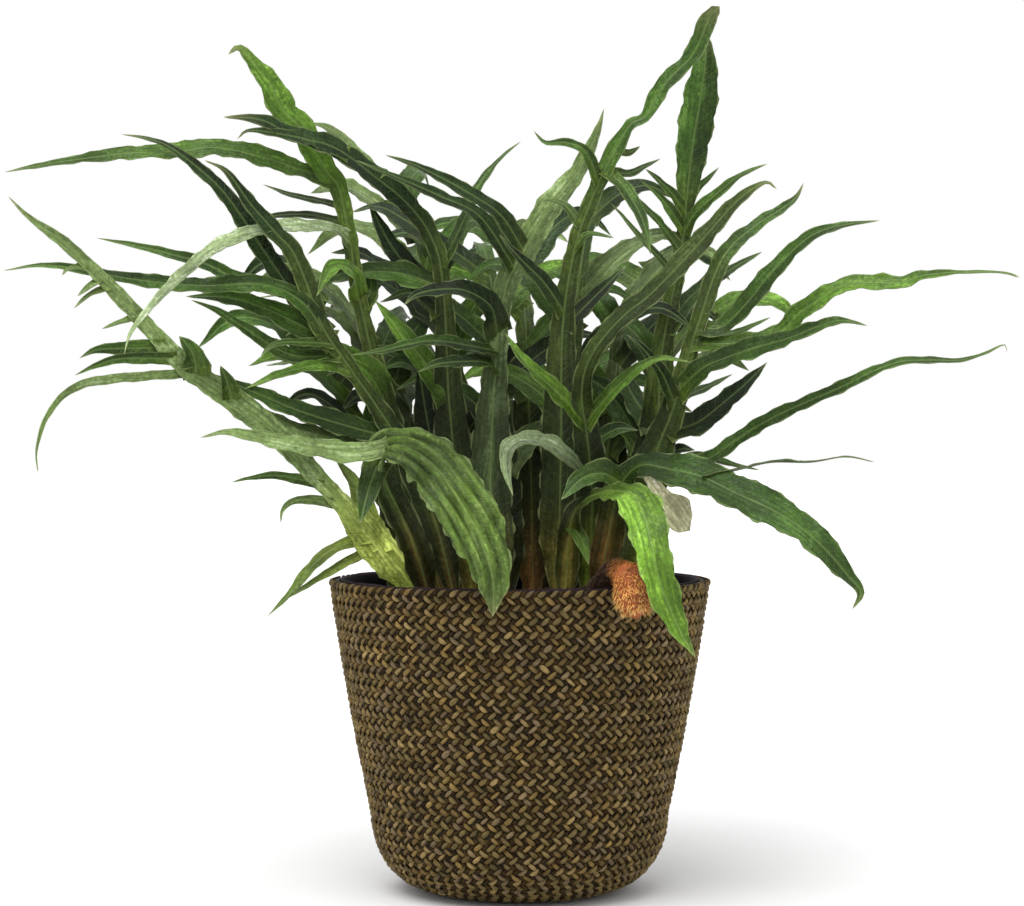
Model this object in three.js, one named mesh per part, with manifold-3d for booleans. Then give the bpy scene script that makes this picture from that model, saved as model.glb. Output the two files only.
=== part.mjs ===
// A potted Aglaomorpha coronans, the crown basket fern: long lobed fronds that rise from a scaly
// rhizome, planted in a round basket of braided seagrass with a plastic lining.
// Millimetres, +Z up. The origin is on the floor at the centre of the basket's base.
import * as THREE from "three";
import { mergeVertices } from "three/addons/utils/BufferGeometryUtils.js";
import Module from "manifold-3d";

const wasm = await Module();
wasm.setup();

const GAP = 0.4; // between pieces that rest on each other
const CORNER_GRID = 0.03;

const BASKET_HEIGHT = 180;
const BASKET_RIM_RADIUS = 110;
const BASKET_SHOULDER_RADIUS = 85.8; // where the straight side meets the rounded bottom edge
const BASKET_SHOULDER_HEIGHT = 44;
const BASKET_BASE_RADIUS = 46;
const BASKET_SIDE_BULGE = 1.2;
const BASKET_WALL = 6;
const RIM_ROUNDING = 1;
const INSIDE_TOP = BASKET_HEIGHT - 2; // where the straight inner side starts, below the rounded rim
const INSIDE_BEND_HEIGHT = 24;
const FLOOR_EDGE_HEIGHT = 6; // the rounded edge between the inner side and the floor
const FLOOR_EDGE_WIDTH = 10;
const BRAID_ROWS = 27; // from the base's edge up to the rim
const BRAID_RELIEF = 0.9;
const BASKET_SIDES = 24;

const LINER_WALL = 1.2;
const LINER_ABOVE_RIM = 1;

const SOIL_EDGE_HEIGHT = 157;
const SOIL_CROWN_HEIGHT = 163;
const SOIL_HEAP = [[0.62, 0.67], [0.3, 0.9], [0, 1]]; // [share of the radius, share of the rise]
const STALK_HOLE_RADIUS = 7.5;
const STALK_HOLE_SIDES = 5;
const STALK_HOLE_FLOOR = 141;
const STALK_HOLE_TOP = 173; // well above the soil
const STALK_FOOT_HEIGHT = 148;

const BLADE_THICKNESS = 0.8;
const STALK_THICKNESS = 4.6;
const BLADE_FOLD = 0.16; // how far a blade's edges rise, as a share of its half width
const BLADE_WAVE = 0.12; // the same for the waves along its edges
const WAVE_LENGTH = 46;
const LOBE_STEP = 34; // length of a lobe's straight pieces
const LOBE_STEPS = [3, 5]; // the fewest and the most of them
const FROND_STEP = 32;
const FROND_STEPS = [8, 11];
const FLAT_WIDTH = 11.5; // a lobe narrower than this, or at the back, has no fold
// A frond's base is winged. This is how wide its `wing` is along the frond, as a share.
const BASE_WING = [[0, 0.2], [0.06, 0.3], [0.15, 1], [0.32, 0.95], [0.5, 0.5], [1, 0]];

// The fronds at the front are laid out as they look from 1.5 m in front of the basket, at eye
// height: each point is [x, z] on the upright plane through the basket's axis, or [x, z, y] where
// its own depth y is set. A leaf is bent only along that line of sight.
const EYE_DISTANCE = 1500;
const EYE_HEIGHT = 274;
const FRONT_FACING = new THREE.Vector3(0, -0.8, 0.6).normalize();

const LEAF_CLEARANCE = 0.5; // between the leaves of neighbouring fronds
const BEND_SHIFTS = [0, 7, -7, 14, -14, 21, -21, 30, -30, 40, -40, 52, -52];
const BEND_BOWS = [0, 6, -6, 12, -12, 19, -19, 27, -27];

// Solids and geometry

// A closed geometry as a solid, whichever way round its faces were listed.
function solidOf(geometry) {
  const plain = new THREE.BufferGeometry();
  plain.setAttribute("position", geometry.getAttribute("position"));
  plain.setIndex(geometry.index);
  const merged = mergeVertices(plain, 1e-3);
  const index = merged.index.array;
  const kept = [];
  for (let i = 0; i < index.length; i += 3) {
    const [a, b, c] = index.slice(i, i + 3);
    if (a !== b && b !== c && c !== a) kept.push(a, b, c);
  }
  const vertProperties = new Float32Array(merged.attributes.position.array);
  const made = (triVerts) => new wasm.Manifold(new wasm.Mesh({ numProp: 3, vertProperties, triVerts }));
  const solid = made(new Uint32Array(kept));
  return solid.volume() > 0 ? solid : made(new Uint32Array(kept.reverse()));
}

// Fuses pieces into one body, and drops any scrap that the joins leave loose. Rounding its corners
// to a fine grid closes the slivers along the joins.
function fused(pieces) {
  const bodies = wasm.Manifold.union(pieces).decompose();
  const whole = bodies.reduce((best, body) => (body.volume() > best.volume() ? body : best));
  const made = whole.getMesh();
  const rounded = (value) => Math.round(value / CORNER_GRID) * CORNER_GRID;
  const corners = Float32Array.from(made.vertProperties, rounded);
  const geometry = new THREE.BufferGeometry();
  geometry.setAttribute("position", new THREE.BufferAttribute(corners, 3));
  geometry.setIndex(new THREE.BufferAttribute(made.triVerts, 1));
  return solidOf(geometry);
}

function meshOf(name, solid, material) {
  const made = solid.getMesh();
  const geometry = new THREE.BufferGeometry();
  geometry.setAttribute("position", new THREE.BufferAttribute(made.vertProperties, 3));
  geometry.setIndex(new THREE.BufferAttribute(made.triVerts, 1));
  geometry.computeVertexNormals();
  const mesh = new THREE.Mesh(geometry, material);
  mesh.name = name;
  return mesh;
}

function finish(colour, roughness, metalness = 0) {
  return new THREE.MeshStandardMaterial({ color: colour, roughness, metalness });
}

// Joins rings of points into one closed skin. The ring corners run round the section, and `tip`
// closes the far end in a point. `crossed` lists the faces split along their other diagonal, so
// that a thin blade's two faces are split alike.
function loft(rings, tip, crossed = []) {
  const sides = rings[0].length;
  const points = rings.flat();
  const index = [];
  const at = (ring, side) => ring * sides + (side % sides);
  for (let ring = 0; ring + 1 < rings.length; ring++)
    for (let side = 0; side < sides; side++) {
      const [a, b] = [at(ring, side), at(ring, side + 1)];
      const [d, c] = [at(ring + 1, side), at(ring + 1, side + 1)];
      if (crossed.includes(side)) index.push(a, b, d, b, c, d);
      else index.push(a, b, c, a, c, d);
    }
  const last = rings.length - 1;
  for (let side = 1; side + 1 < sides; side++) index.push(at(0, 1), at(0, side + 2), at(0, side + 1));
  if (tip) {
    points.push(tip);
    for (let side = 0; side < sides; side++)
      index.push(at(last, side), at(last, side + 1), points.length - 1);
  } else
    for (let side = 1; side + 1 < sides; side++)
      index.push(at(last, 1), at(last, side + 1), at(last, side + 2));
  const geometry = new THREE.BufferGeometry().setFromPoints(points);
  geometry.setIndex(index);
  return geometry;
}

// A seeded run of numbers from 0 to 1.
function draws(seed) {
  let state = seed;
  return () => {
    state = (state * 16807) % 2147483647;
    return state / 2147483647;
  };
}

// Basket, lining and soil

function basketRadius(height) {
  if (height < BASKET_SHOULDER_HEIGHT) {
    const drop = 1 - height / BASKET_SHOULDER_HEIGHT;
    const flare = Math.sqrt(1 - drop * drop);
    return BASKET_BASE_RADIUS + (BASKET_SHOULDER_RADIUS - BASKET_BASE_RADIUS) * flare;
  }
  const up = (height - BASKET_SHOULDER_HEIGHT) / (BASKET_HEIGHT - BASKET_SHOULDER_HEIGHT);
  const straight = BASKET_SHOULDER_RADIUS + (BASKET_RIM_RADIUS - BASKET_SHOULDER_RADIUS) * up;
  return straight + BASKET_SIDE_BULGE * Math.sin(Math.PI * up);
}

// The basket's side from the base's edge to the rim, as points evenly spaced along it.
function basketSide(count) {
  const fine = [];
  for (let i = 0; i <= 400; i++) {
    const height = BASKET_HEIGHT * (i / 400) ** 2;
    fine.push(new THREE.Vector2(basketRadius(height), height));
  }
  const lengths = [0];
  for (let i = 1; i < fine.length; i++) lengths.push(lengths[i - 1] + fine[i].distanceTo(fine[i - 1]));
  const side = [];
  for (let i = 0; i <= count; i++) {
    const wanted = (lengths[lengths.length - 1] * i) / count;
    let k = lengths.findIndex((length) => length >= wanted - 1e-9);
    k = Math.max(k, 1);
    const share = (wanted - lengths[k - 1]) / (lengths[k] - lengths[k - 1]);
    side.push(fine[k - 1].clone().lerp(fine[k], share));
  }
  return side;
}

function turned(profile, sides) {
  return solidOf(new THREE.LatheGeometry(profile, sides).rotateX(Math.PI / 2));
}

// Braid rows sewn round and round: each stands out between the grooves above and below it.
function basket() {
  const side = basketSide(2 * BRAID_ROWS);
  const profile = [new THREE.Vector2(0, 0), new THREE.Vector2(BASKET_BASE_RADIUS, 0)];
  for (let i = 1; i < side.length - 1; i++) {
    const along = side[i + 1].clone().sub(side[i - 1]).normalize();
    const out = new THREE.Vector2(along.y, -along.x);
    const relief = i % 2 ? BRAID_RELIEF / 2 : -BRAID_RELIEF / 2;
    const point = side[i].clone().addScaledVector(out, relief);
    profile.push(point.setY(Math.max(0, point.y)));
  }
  profile.push(new THREE.Vector2(BASKET_RIM_RADIUS - RIM_ROUNDING, BASKET_HEIGHT));
  profile.push(new THREE.Vector2(BASKET_RIM_RADIUS - BASKET_WALL + RIM_ROUNDING, BASKET_HEIGHT));
  profile.push(...innerProfile(BASKET_WALL, INSIDE_TOP));
  return turned(profile, BASKET_SIDES);
}

// The inside of the basket, or of what lines it, `inset` from its outer side and from its base,
// from a top height down to the axis.
function innerProfile(inset, top) {
  const edge = inset + FLOOR_EDGE_HEIGHT;
  const heights = [top, BASKET_SHOULDER_HEIGHT, INSIDE_BEND_HEIGHT, edge];
  const profile = heights.map((height) => new THREE.Vector2(basketRadius(height) - inset, height));
  profile.push(new THREE.Vector2(basketRadius(edge) - inset - FLOOR_EDGE_WIDTH, inset));
  profile.push(new THREE.Vector2(0, inset));
  return profile;
}

function liner() {
  const outer = BASKET_WALL + GAP;
  const inner = outer + LINER_WALL;
  const top = BASKET_HEIGHT + LINER_ABOVE_RIM;
  const skin = innerProfile(outer, INSIDE_TOP).reverse();
  const rim = BASKET_RIM_RADIUS;
  skin.push(new THREE.Vector2(rim - outer, top));
  skin.push(new THREE.Vector2(rim - inner, top));
  return turned([...skin, ...innerProfile(inner, INSIDE_TOP)], BASKET_SIDES);
}

function soil(holes) {
  const inset = BASKET_WALL + 3 * GAP + LINER_WALL;
  const skin = innerProfile(inset, SOIL_EDGE_HEIGHT).reverse();
  const edge = basketRadius(SOIL_EDGE_HEIGHT) - inset;
  for (const [out, rise] of SOIL_HEAP) {
    const height = SOIL_EDGE_HEIGHT + (SOIL_CROWN_HEIGHT - SOIL_EDGE_HEIGHT) * rise;
    skin.push(new THREE.Vector2(edge * out, height));
  }
  let mix = turned(skin, BASKET_SIDES);
  for (const [x, y] of holes) {
    const depth = STALK_HOLE_TOP - STALK_HOLE_FLOOR;
    const hole = new THREE.CylinderGeometry(STALK_HOLE_RADIUS, STALK_HOLE_RADIUS, depth, STALK_HOLE_SIDES);
    hole.rotateX(Math.PI / 2).translate(x, y, STALK_HOLE_FLOOR + depth / 2);
    mix = mix.subtract(solidOf(hole));
  }
  return mix;
}

// Leaves

// A point seen at [x, z] from the front, set at the depth y.
function seen([x, z], y) {
  const scale = 1 + y / EYE_DISTANCE;
  return new THREE.Vector3(x * scale, y, EYE_HEIGHT + (z - EYE_HEIGHT) * scale);
}

function seenAt(point) {
  const scale = 1 + point.y / EYE_DISTANCE;
  return [point.x / scale, EYE_HEIGHT + (point.z - EYE_HEIGHT) / scale];
}

// Sets a hand-laid path in space. Depths that a point doesn't set run evenly between those that do.
function laid(path, rootDepth, tipDepth) {
  const along = [0];
  for (let i = 1; i < path.length; i++) {
    const [a, b] = [path[i - 1], path[i]];
    along.push(along[i - 1] + Math.hypot(b[0] - a[0], b[1] - a[1]));
  }
  const depth = path.map((point) => point[2]);
  depth[0] ??= rootDepth;
  depth[path.length - 1] ??= tipDepth;
  return path.map((point, i) => {
    let [before, after] = [i, i];
    while (depth[before] === undefined) before--;
    while (depth[after] === undefined) after++;
    const span = along[after] - along[before];
    const share = span ? (along[i] - along[before]) / span : 0;
    return seen(point, depth[before] + (depth[after] - depth[before]) * share);
  });
}

// Bends a path along the line of sight: `shift` moves its tip and `bow` its middle.
function bent(points, [shift, bow]) {
  const along = [0];
  for (let i = 1; i < points.length; i++)
    along.push(along[i - 1] + points[i].distanceTo(points[i - 1]));
  return points.map((point, i) => {
    const share = along[i] / along[along.length - 1];
    const move = shift * share + bow * 4 * share * (1 - share);
    return seen(seenAt(point), point.y + move);
  });
}

function curveThrough(points) {
  return new THREE.CatmullRomCurve3(points, false, "catmullrom", 0.5);
}

// Reads a list of [share of the length, value] pairs.
function between(pairs, share) {
  let i = 1;
  while (i + 1 < pairs.length && share > pairs[i][0]) i++;
  const [[u0, v0], [u1, v1]] = [pairs[i - 1], pairs[i]];
  return v0 + ((v1 - v0) * (share - u0)) / (u1 - u0);
}

// The width of a lobe, as a share of its widest, from root to tip.
function lobeWidth(share) {
  return Math.min(1, 0.72 + 1.1 * share) * (1 - share ** 2.4);
}

// A thin blade along a path: folded along its midrib, waved along both edges, turned to `facing`.
function blade(points, leaf) {
  const curve = curveThrough(points);
  const rings = [];
  const length = curve.getLength();
  for (let step = 0; step < leaf.steps; step++) {
    const share = step / leaf.steps;
    const middle = curve.getPointAt(share);
    const ahead = curve.getPointAt(Math.min(1, share + 0.01));
    const behind = curve.getPointAt(Math.max(0, share - 0.01));
    const along = ahead.sub(behind).normalize();
    const flat = along.clone().cross(leaf.facing).normalize();
    const up = flat.clone().cross(along);
    const roll = THREE.MathUtils.degToRad(leaf.roll + leaf.twist * share);
    const wide = flat.clone().multiplyScalar(Math.cos(roll)).addScaledVector(up, Math.sin(roll));
    const normal = up.multiplyScalar(Math.cos(roll)).addScaledVector(flat, -Math.sin(roll));
    const half = leaf.width(share) / 2;
    const turn = (2 * Math.PI * share * length) / WAVE_LENGTH + leaf.phase;
    const edge = (side, shift) => {
      const rise = half * (BLADE_FOLD + leaf.wave * Math.sin(turn + shift));
      return middle.clone().addScaledVector(wide, side * half).addScaledVector(normal, rise);
    };
    const [left, right] = [edge(-1, 0), edge(1, 2.1)];
    const thin = BLADE_THICKNESS / 2;
    const thick = leaf.thickness(share) / 2;
    const raised = (point, by) => point.clone().addScaledVector(normal, by);
    const edges = [raised(left, thin), raised(right, thin), raised(right, -thin), raised(left, -thin)];
    if (!leaf.flat) {
      edges.splice(1, 0, raised(middle, thick));
      edges.splice(4, 0, raised(middle, -thick));
    }
    rings.push(edges);
  }
  return solidOf(loft(rings, curve.getPoint(1), leaf.flat ? [2] : [1, 4]));
}

function stepsFor(points, step, [fewest, most]) {
  const length = curveThrough(points).getLength();
  return Math.min(most, Math.max(fewest, Math.round(length / step)));
}

// Every leaf that is in place, with the frond that it belongs to, and the pieces that stay put.
const placed = [];

function isClear(solid, frond) {
  const box = solid.boundingBox();
  const near = (other) =>
    [0, 1, 2].every(
      (k) =>
        box.min[k] < other.box.max[k] + LEAF_CLEARANCE &&
        box.max[k] > other.box.min[k] - LEAF_CLEARANCE,
    );
  return placed.every(
    (other) =>
      other.frond === frond ||
      !near(other) ||
      other.solid.minGap(solid, 2 * LEAF_CLEARANCE) > LEAF_CLEARANCE,
  );
}

const BENDS = BEND_SHIFTS.flatMap((shift) => BEND_BOWS.map((bow) => [shift, bow]));
BENDS.sort((a, b) => Math.abs(a[0]) + 1.5 * Math.abs(a[1]) - Math.abs(b[0]) - 1.5 * Math.abs(b[1]));

// Bends a leaf by the least that keeps it clear of the other fronds, and puts it in place.
function placeLeaf(points, leaf, frond) {
  for (const bend of BENDS) {
    const path = bent(points, bend);
    const solid = blade(path, leaf);
    if (!isClear(solid, frond)) continue;
    placed.push({ frond, solid, box: solid.boundingBox() });
    return { path, solid };
  }
  return null;
}

// The place on a frond's midrib that is nearest, as seen from the front, to where a lobe starts.
function rootOn(midrib, [x, z]) {
  let best = { distance: Infinity };
  for (let i = 0; i <= 200; i++) {
    const point = midrib.getPointAt(i / 200);
    const [px, pz] = seenAt(point);
    const distance = Math.hypot(px - x, pz - z);
    if (distance < best.distance) best = { distance, point };
  }
  return best.point;
}

// One frond: stalk, winged midrib and end lobe in one strip, with side lobes rooted in the midrib.
// A side lobe that has no clear place is left out.
function frond(plan, draw) {
  const facing = plan.facing ?? FRONT_FACING;
  const axis = {
    steps: stepsFor(plan.path, FROND_STEP, FROND_STEPS),
    width: (share) => Math.max(between(plan.widths, share), plan.wing * between(BASE_WING, share)),
    thickness: (share) => BLADE_THICKNESS + (STALK_THICKNESS - BLADE_THICKNESS) * (1 - share) ** 1.3,
    facing,
    roll: plan.roll ?? 0,
    twist: plan.twist ?? 0,
    wave: BLADE_WAVE,
    phase: 6.28 * draw(),
  };
  const stem = placeLeaf(plan.path, axis, plan.name);
  if (!stem) throw new Error(plan.name + " has no clear place");
  const pieces = [stem.solid];
  const midrib = curveThrough(stem.path);
  for (const lobe of plan.lobes) {
    const phase = 6.28 * draw();
    let points;
    if (lobe.path) {
      const root = rootOn(midrib, lobe.path[0]);
      points = laid([[...seenAt(root), root.y], ...lobe.path.slice(1)], root.y, lobe.depth);
    } else {
      const root = midrib.getPointAt(lobe.share);
      points = [root, ...lobe.offsets.map((offset) => offset.clone().add(root))];
    }
    const leaf = {
      steps: stepsFor(points, LOBE_STEP, LOBE_STEPS),
      width: (share) => lobe.width * (lobe.outline ? between(lobe.outline, share) : lobeWidth(share)),
      thickness: () => BLADE_THICKNESS,
      flat: !lobe.path || lobe.width < FLAT_WIDTH,
      facing,
      roll: lobe.roll ?? 0,
      twist: lobe.twist ?? 0,
      wave: BLADE_WAVE,
      phase,
    };
    const put = placeLeaf(points, leaf, plan.name);
    if (put) pieces.push(put.solid);
  }
  return fused(pieces);
}

// The fronds at the front, laid out by hand. `path` runs from the soil along the midrib to the tip,
// `widths` pairs shares of its length with the strip's full width, and a lobe's path starts where
// it leaves the midrib. `depth` is how far back a lobe's tip lies, and `roll` turns a blade about
// its own length, so that a steep one shows its edge.
const FRONT_FRONDS = [
  {
    name: "frond_front_left",
    wing: 18,
    path: [
      [-52, 148, -42], [-52, 158, -42], [-53, 168, -43], [-62, 200, -52], [-78, 234, -66], [-82, 250, -78],
      [-70, 257, -92], [-52, 247, -106], [-36, 226, -117], [-23, 202, -124], [-16, 180, -127],
      [-16, 158, -126],
    ],
    widths: [[0, 7], [0.3, 9], [0.42, 20], [0.52, 28], [0.7, 34], [0.82, 31], [0.92, 20], [1, 0]],
    lobes: [
      {
        width: 14,
        depth: -104,
        path: [[-76, 255], [-98, 253], [-127, 257], [-156, 263], [-172, 265], [-186, 262]],
      },
      { width: 14, depth: -96, path: [[-82, 248], [-88, 232], [-93, 212]] },
    ],
  },
  {
    name: "frond_bright",
    wing: 14,
    path: [
      [26, 148, -28], [26, 158, -28], [26, 168, -28], [28, 195, -32], [31, 215, -42], [40, 226, -56],
      [53, 230, -74], [65, 228, -94], [72, 216, -110], [76, 200, -121], [79, 186, -126], [83, 172, -127],
      [88, 160, -126], [94, 147, -124], [102, 134, -120],
    ],
    widths: [
      [0, 6], [0.3, 6], [0.42, 9], [0.52, 18], [0.6, 24], [0.72, 20], [0.85, 17], [0.93, 10], [1, 0],
    ],
    lobes: [
      { width: 8, depth: -48, path: [[30, 210], [36, 202], [40, 188]] },
    ],
  },
  {
    name: "frond_low_right",
    wing: 18,
    path: [
      [46, 148, -20], [46, 158, -20], [46, 168, -20], [52, 205, -26], [58, 232, -34], [70, 245, -44],
      [87, 243, -56], [105, 239, -66], [126, 229, -76], [148, 219, -84], [166, 207, -90], [180, 194, -95],
      [190, 182, -98], [198, 172, -100], [193, 162, -102],
    ],
    widths: [
      [0, 7], [0.2, 7], [0.34, 12], [0.42, 21], [0.55, 24], [0.7, 22], [0.82, 17], [0.92, 9], [1, 0],
    ],
    lobes: [
      {
        width: 7,
        depth: -50,
        roll: 60,
        path: [[105, 239], [128, 244], [146, 248], [169, 248], [189, 251], [206, 248]],
      },
      {
        width: 20,
        depth: -26,
        outline: [[0, 0.3], [0.45, 0.5], [0.7, 1], [0.88, 0.9], [1, 0]],
        path: [[72, 243], [80, 231], [89, 221], [99, 208]],
      },
      { width: 18, depth: -62, path: [[60, 236], [48, 241], [36, 238], [24, 226]] },
    ],
  },
  {
    name: "frond_left_long",
    wing: 0,
    path: [
      [-61, 148, -22], [-61, 158, -22], [-63, 170, -24], [-80, 194, -36], [-108, 228, -52],
      [-149, 270, -68], [-194, 303, -80], [-228, 339, -88], [-260, 371, -94], [-284, 389, -98],
      [-297, 402, -100],
    ],
    widths: [
      [0, 8], [0.09, 8], [0.14, 24], [0.19, 24], [0.26, 12], [0.36, 12], [0.45, 16], [0.56, 15],
      [0.64, 11], [0.75, 9], [0.9, 7], [1, 0],
    ],
    lobes: [
      {
        width: 6,
        depth: -122,
        roll: 62,
        path: [
          [-190, 299], [-216, 298], [-240, 296], [-257, 292], [-269, 283], [-277, 270], [-281, 254],
          [-280, 241],
        ],
      },
      {
        width: 6,
        depth: -70,
        roll: 40,
        path: [[-104, 222], [-122, 226], [-132, 225], [-138, 220], [-139, 212]],
      },
      { width: 6, depth: -58, roll: 60, path: [[-116, 233], [-139, 240], [-155, 239], [-168, 236]] },
      { width: 9, depth: -96, roll: 35, path: [[-206, 314], [-226, 314], [-246, 313], [-256, 308]] },
      { width: 7, depth: -104, roll: 50, path: [[-201, 307], [-231, 308], [-246, 304], [-259, 298]] },
      { width: 4, depth: -90, path: [[-221, 333], [-233, 329], [-243, 325]] },
      { width: 4, depth: -92, path: [[-237, 350], [-250, 345], [-259, 337]] },
      { width: 4, depth: -92, path: [[-243, 354], [-250, 350], [-257, 344]] },
      { width: 4, depth: -94, path: [[-252, 362], [-262, 360], [-266, 356]] },
      { width: 14, depth: -78, path: [[-187, 298], [-190, 311], [-198, 321]] },
      { width: 10, depth: -74, path: [[-168, 282], [-170, 294], [-174, 304]] },
      { width: 8, depth: -60, path: [[-92, 200], [-107, 198], [-121, 187], [-134, 171], [-147, 158]] },
      { width: 6, depth: -50, path: [[-88, 194], [-100, 190], [-127, 174], [-140, 166]] },
      { width: 15, depth: -20, path: [[-82, 194], [-88, 214], [-95, 234], [-107, 250]] },
    ],
  },
  {
    name: "frond_front_centre",
    wing: 20,
    path: [
      [40, 148, -6], [40, 158, -6], [40, 168, -6], [42, 226, -16], [39, 262, -26], [36, 282, -34],
      [38, 300, -44], [46, 316, -54], [60, 332, -62], [76, 345, -68], [99, 369, -74], [113, 385, -78],
      [127, 400, -82], [142, 410, -86], [149, 406, -88],
    ],
    widths: [[0, 7], [0.25, 7], [0.35, 9], [0.48, 10], [0.58, 13], [0.8, 13], [0.9, 9], [1, 0]],
    lobes: [
      { width: 13, depth: -64, path: [[38, 270], [26, 284], [10, 299], [0, 310], [-9, 323]] },
      { width: 10, depth: -66, path: [[38, 268], [47, 281], [58, 293], [70, 303], [82, 308], [99, 306]] },
      {
        width: 14,
        depth: -84,
        path: [[41, 240], [34, 246], [27, 252], [15, 259], [2, 261], [-7, 256], [-8, 243], [-4, 228]],
      },
    ],
  },
  {
    name: "frond_left_mid",
    wing: 18,
    path: [
      [-37, 148, 2], [-37, 158, 2], [-38, 168, 1], [-50, 215, -4], [-72, 262, -12], [-98, 301, -20],
      [-114, 325, -24], [-124, 352, -26], [-132, 370, -28], [-141, 380, -30], [-156, 397, -34],
      [-170, 416, -38], [-183, 423, -40],
    ],
    widths: [[0, 7], [0.25, 7], [0.35, 9], [0.6, 10], [0.68, 11], [0.8, 12], [0.9, 8], [1, 0]],
    lobes: [
      {
        width: 13,
        depth: -16,
        path: [
          [-113, 323], [-133, 348], [-149, 371], [-162, 391], [-176, 409], [-199, 428], [-214, 435],
          [-231, 438],
        ],
      },
      {
        width: 13,
        depth: -64,
        path: [
          [-114, 320], [-127, 341], [-150, 351], [-185, 350], [-226, 354], [-257, 360], [-278, 362],
          [-300, 359],
        ],
      },
      { width: 17, depth: -34, path: [[-108, 316], [-124, 325], [-146, 336], [-168, 343], [-194, 344]] },
      {
        width: 9,
        depth: -14,
        roll: 25,
        path: [[-121, 342], [-162, 354], [-182, 363], [-200, 368], [-220, 373], [-246, 378]],
      },
      { width: 11, depth: -40, path: [[-104, 309], [-133, 310], [-162, 327], [-176, 336], [-191, 342]] },
      { width: 7, depth: -52, path: [[-108, 316], [-121, 317], [-139, 317], [-147, 313], [-151, 307]] },
      { width: 9, depth: -50, path: [[-98, 301], [-115, 304], [-139, 299], [-160, 290]] },
      { width: 17, depth: -66, path: [[-70, 262], [-98, 268], [-127, 277], [-156, 289], [-182, 300]] },
      { width: 14, depth: -60, path: [[-66, 254], [-98, 259], [-127, 266], [-150, 277], [-168, 288]] },
    ],
  },
  {
    name: "frond_upper_left",
    wing: 18,
    path: [
      [-44, 148, 22], [-44, 158, 22], [-45, 168, 22], [-58, 215, 24], [-72, 258, 24], [-82, 296, 22],
      [-93, 342, 18], [-99, 380, 14], [-105, 406, 12], [-112, 416, 10], [-127, 441, 6], [-137, 452, 4],
      [-145, 467, 2], [-156, 481, 0], [-163, 488, -2], [-169, 484, -4],
    ],
    widths: [[0, 7], [0.25, 7], [0.35, 9], [0.68, 9], [0.73, 13], [0.82, 18], [0.9, 15], [0.96, 8], [1, 0]],
    lobes: [
      {
        width: 15,
        depth: -30,
        path: [
          [-107, 410], [-147, 424], [-176, 430], [-197, 428], [-226, 427], [-243, 425], [-272, 421],
          [-299, 416],
        ],
      },
      {
        width: 11,
        depth: -118,
        path: [
          [-99, 376], [-110, 384], [-144, 384], [-165, 378], [-180, 370], [-195, 358], [-206, 347],
          [-217, 335], [-226, 323], [-230, 310],
        ],
      },
      { width: 6, depth: 34, path: [[-100, 386], [-120, 391], [-139, 391], [-162, 388]] },
      { width: 5, depth: 24, path: [[-102, 395], [-115, 399], [-133, 403], [-149, 409]] },
      {
        width: 22,
        depth: -62,
        path: [[-80, 284], [-86, 297], [-98, 307], [-110, 313], [-121, 314], [-128, 306]],
      },
      { width: 10, depth: 30, path: [[-92, 337], [-86, 348], [-88, 362]] },
      { width: 13, depth: -34, path: [[-93, 342], [-97, 358], [-108, 361], [-118, 344]] },
    ],
  },
  {
    name: "frond_centre_left",
    wing: 22,
    path: [
      [-26, 148, 34], [-26, 158, 34], [-27, 168, 34], [-35, 225, 36], [-41, 284, 36], [-43, 330, 34],
      [-46, 362, 30], [-51, 377, 27], [-58, 389, 24], [-69, 401, 20], [-84, 413, 14], [-98, 424, 8],
      [-110, 431, 3], [-133, 438, -4], [-150, 446, -8], [-172, 448, -12],
    ],
    widths: [
      [0, 7], [0.25, 7], [0.35, 9], [0.6, 10], [0.66, 14], [0.76, 15], [0.86, 14], [0.93, 10], [1, 0],
    ],
    lobes: [
      { width: 10, depth: -26, path: [[-100, 424], [-121, 434], [-139, 438], [-157, 440], [-164, 435]] },
      { width: 10, depth: 25, path: [[-82, 411], [-98, 430], [-110, 441], [-123, 445]] },
      {
        width: 9,
        depth: 44,
        roll: 20,
        path: [[-45, 360], [-36, 380], [-31, 391], [-23, 409], [-11, 424], [1, 434]],
      },
      { width: 6, depth: 34, path: [[-46, 366], [-49, 380], [-53, 391]] },
      {
        width: 17,
        depth: 0,
        path: [[-45, 350], [-69, 357], [-85, 358], [-104, 357], [-115, 351], [-120, 342]],
      },
      { width: 17, depth: 52, path: [[-44, 335], [-60, 354], [-76, 376], [-88, 400]] },
      { width: 17, depth: 16, path: [[-41, 284], [-54, 304], [-68, 322], [-84, 342]] },
      { width: 25, depth: 44, path: [[-33, 212], [-44, 238], [-52, 264], [-59, 306]] },
      { width: 14, depth: 60, path: [[-51, 377], [-66, 388], [-82, 396], [-97, 393]] },
    ],
  },
  {
    name: "frond_grey",
    wing: 26,
    path: [
      [-12, 148, 18], [-12, 158, 18], [-12, 168, 18], [-17, 225, 22], [-14, 300, 28], [-8, 348, 32],
      [8, 379, 36], [20, 399, 38], [33, 415, 40], [41, 430, 42], [46, 442, 43], [49, 453, 44],
    ],
    widths: [
      [0, 7], [0.06, 8], [0.13, 18], [0.3, 22], [0.38, 9], [0.58, 11], [0.7, 18], [0.82, 15], [0.92, 8],
      [1, 0],
    ],
    lobes: [
      {
        width: 12,
        depth: 10,
        path: [[2, 371], [-11, 391], [-28, 403], [-46, 413], [-63, 421], [-78, 426]],
      },
      { width: 11, depth: 0, path: [[-6, 362], [-23, 390], [-46, 402], [-69, 412], [-95, 423]] },
      {
        width: 18,
        depth: -24,
        path: [[-10, 322], [-17, 338], [-31, 347], [-46, 348], [-60, 345], [-67, 339]],
      },
      { width: 10, depth: -44, path: [[-12, 312], [-46, 318], [-65, 316], [-81, 312], [-98, 310]] },
      { width: 12, depth: -30, path: [[-13, 302], [-23, 306], [-46, 305], [-59, 300]] },
    ],
  },
  {
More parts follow.
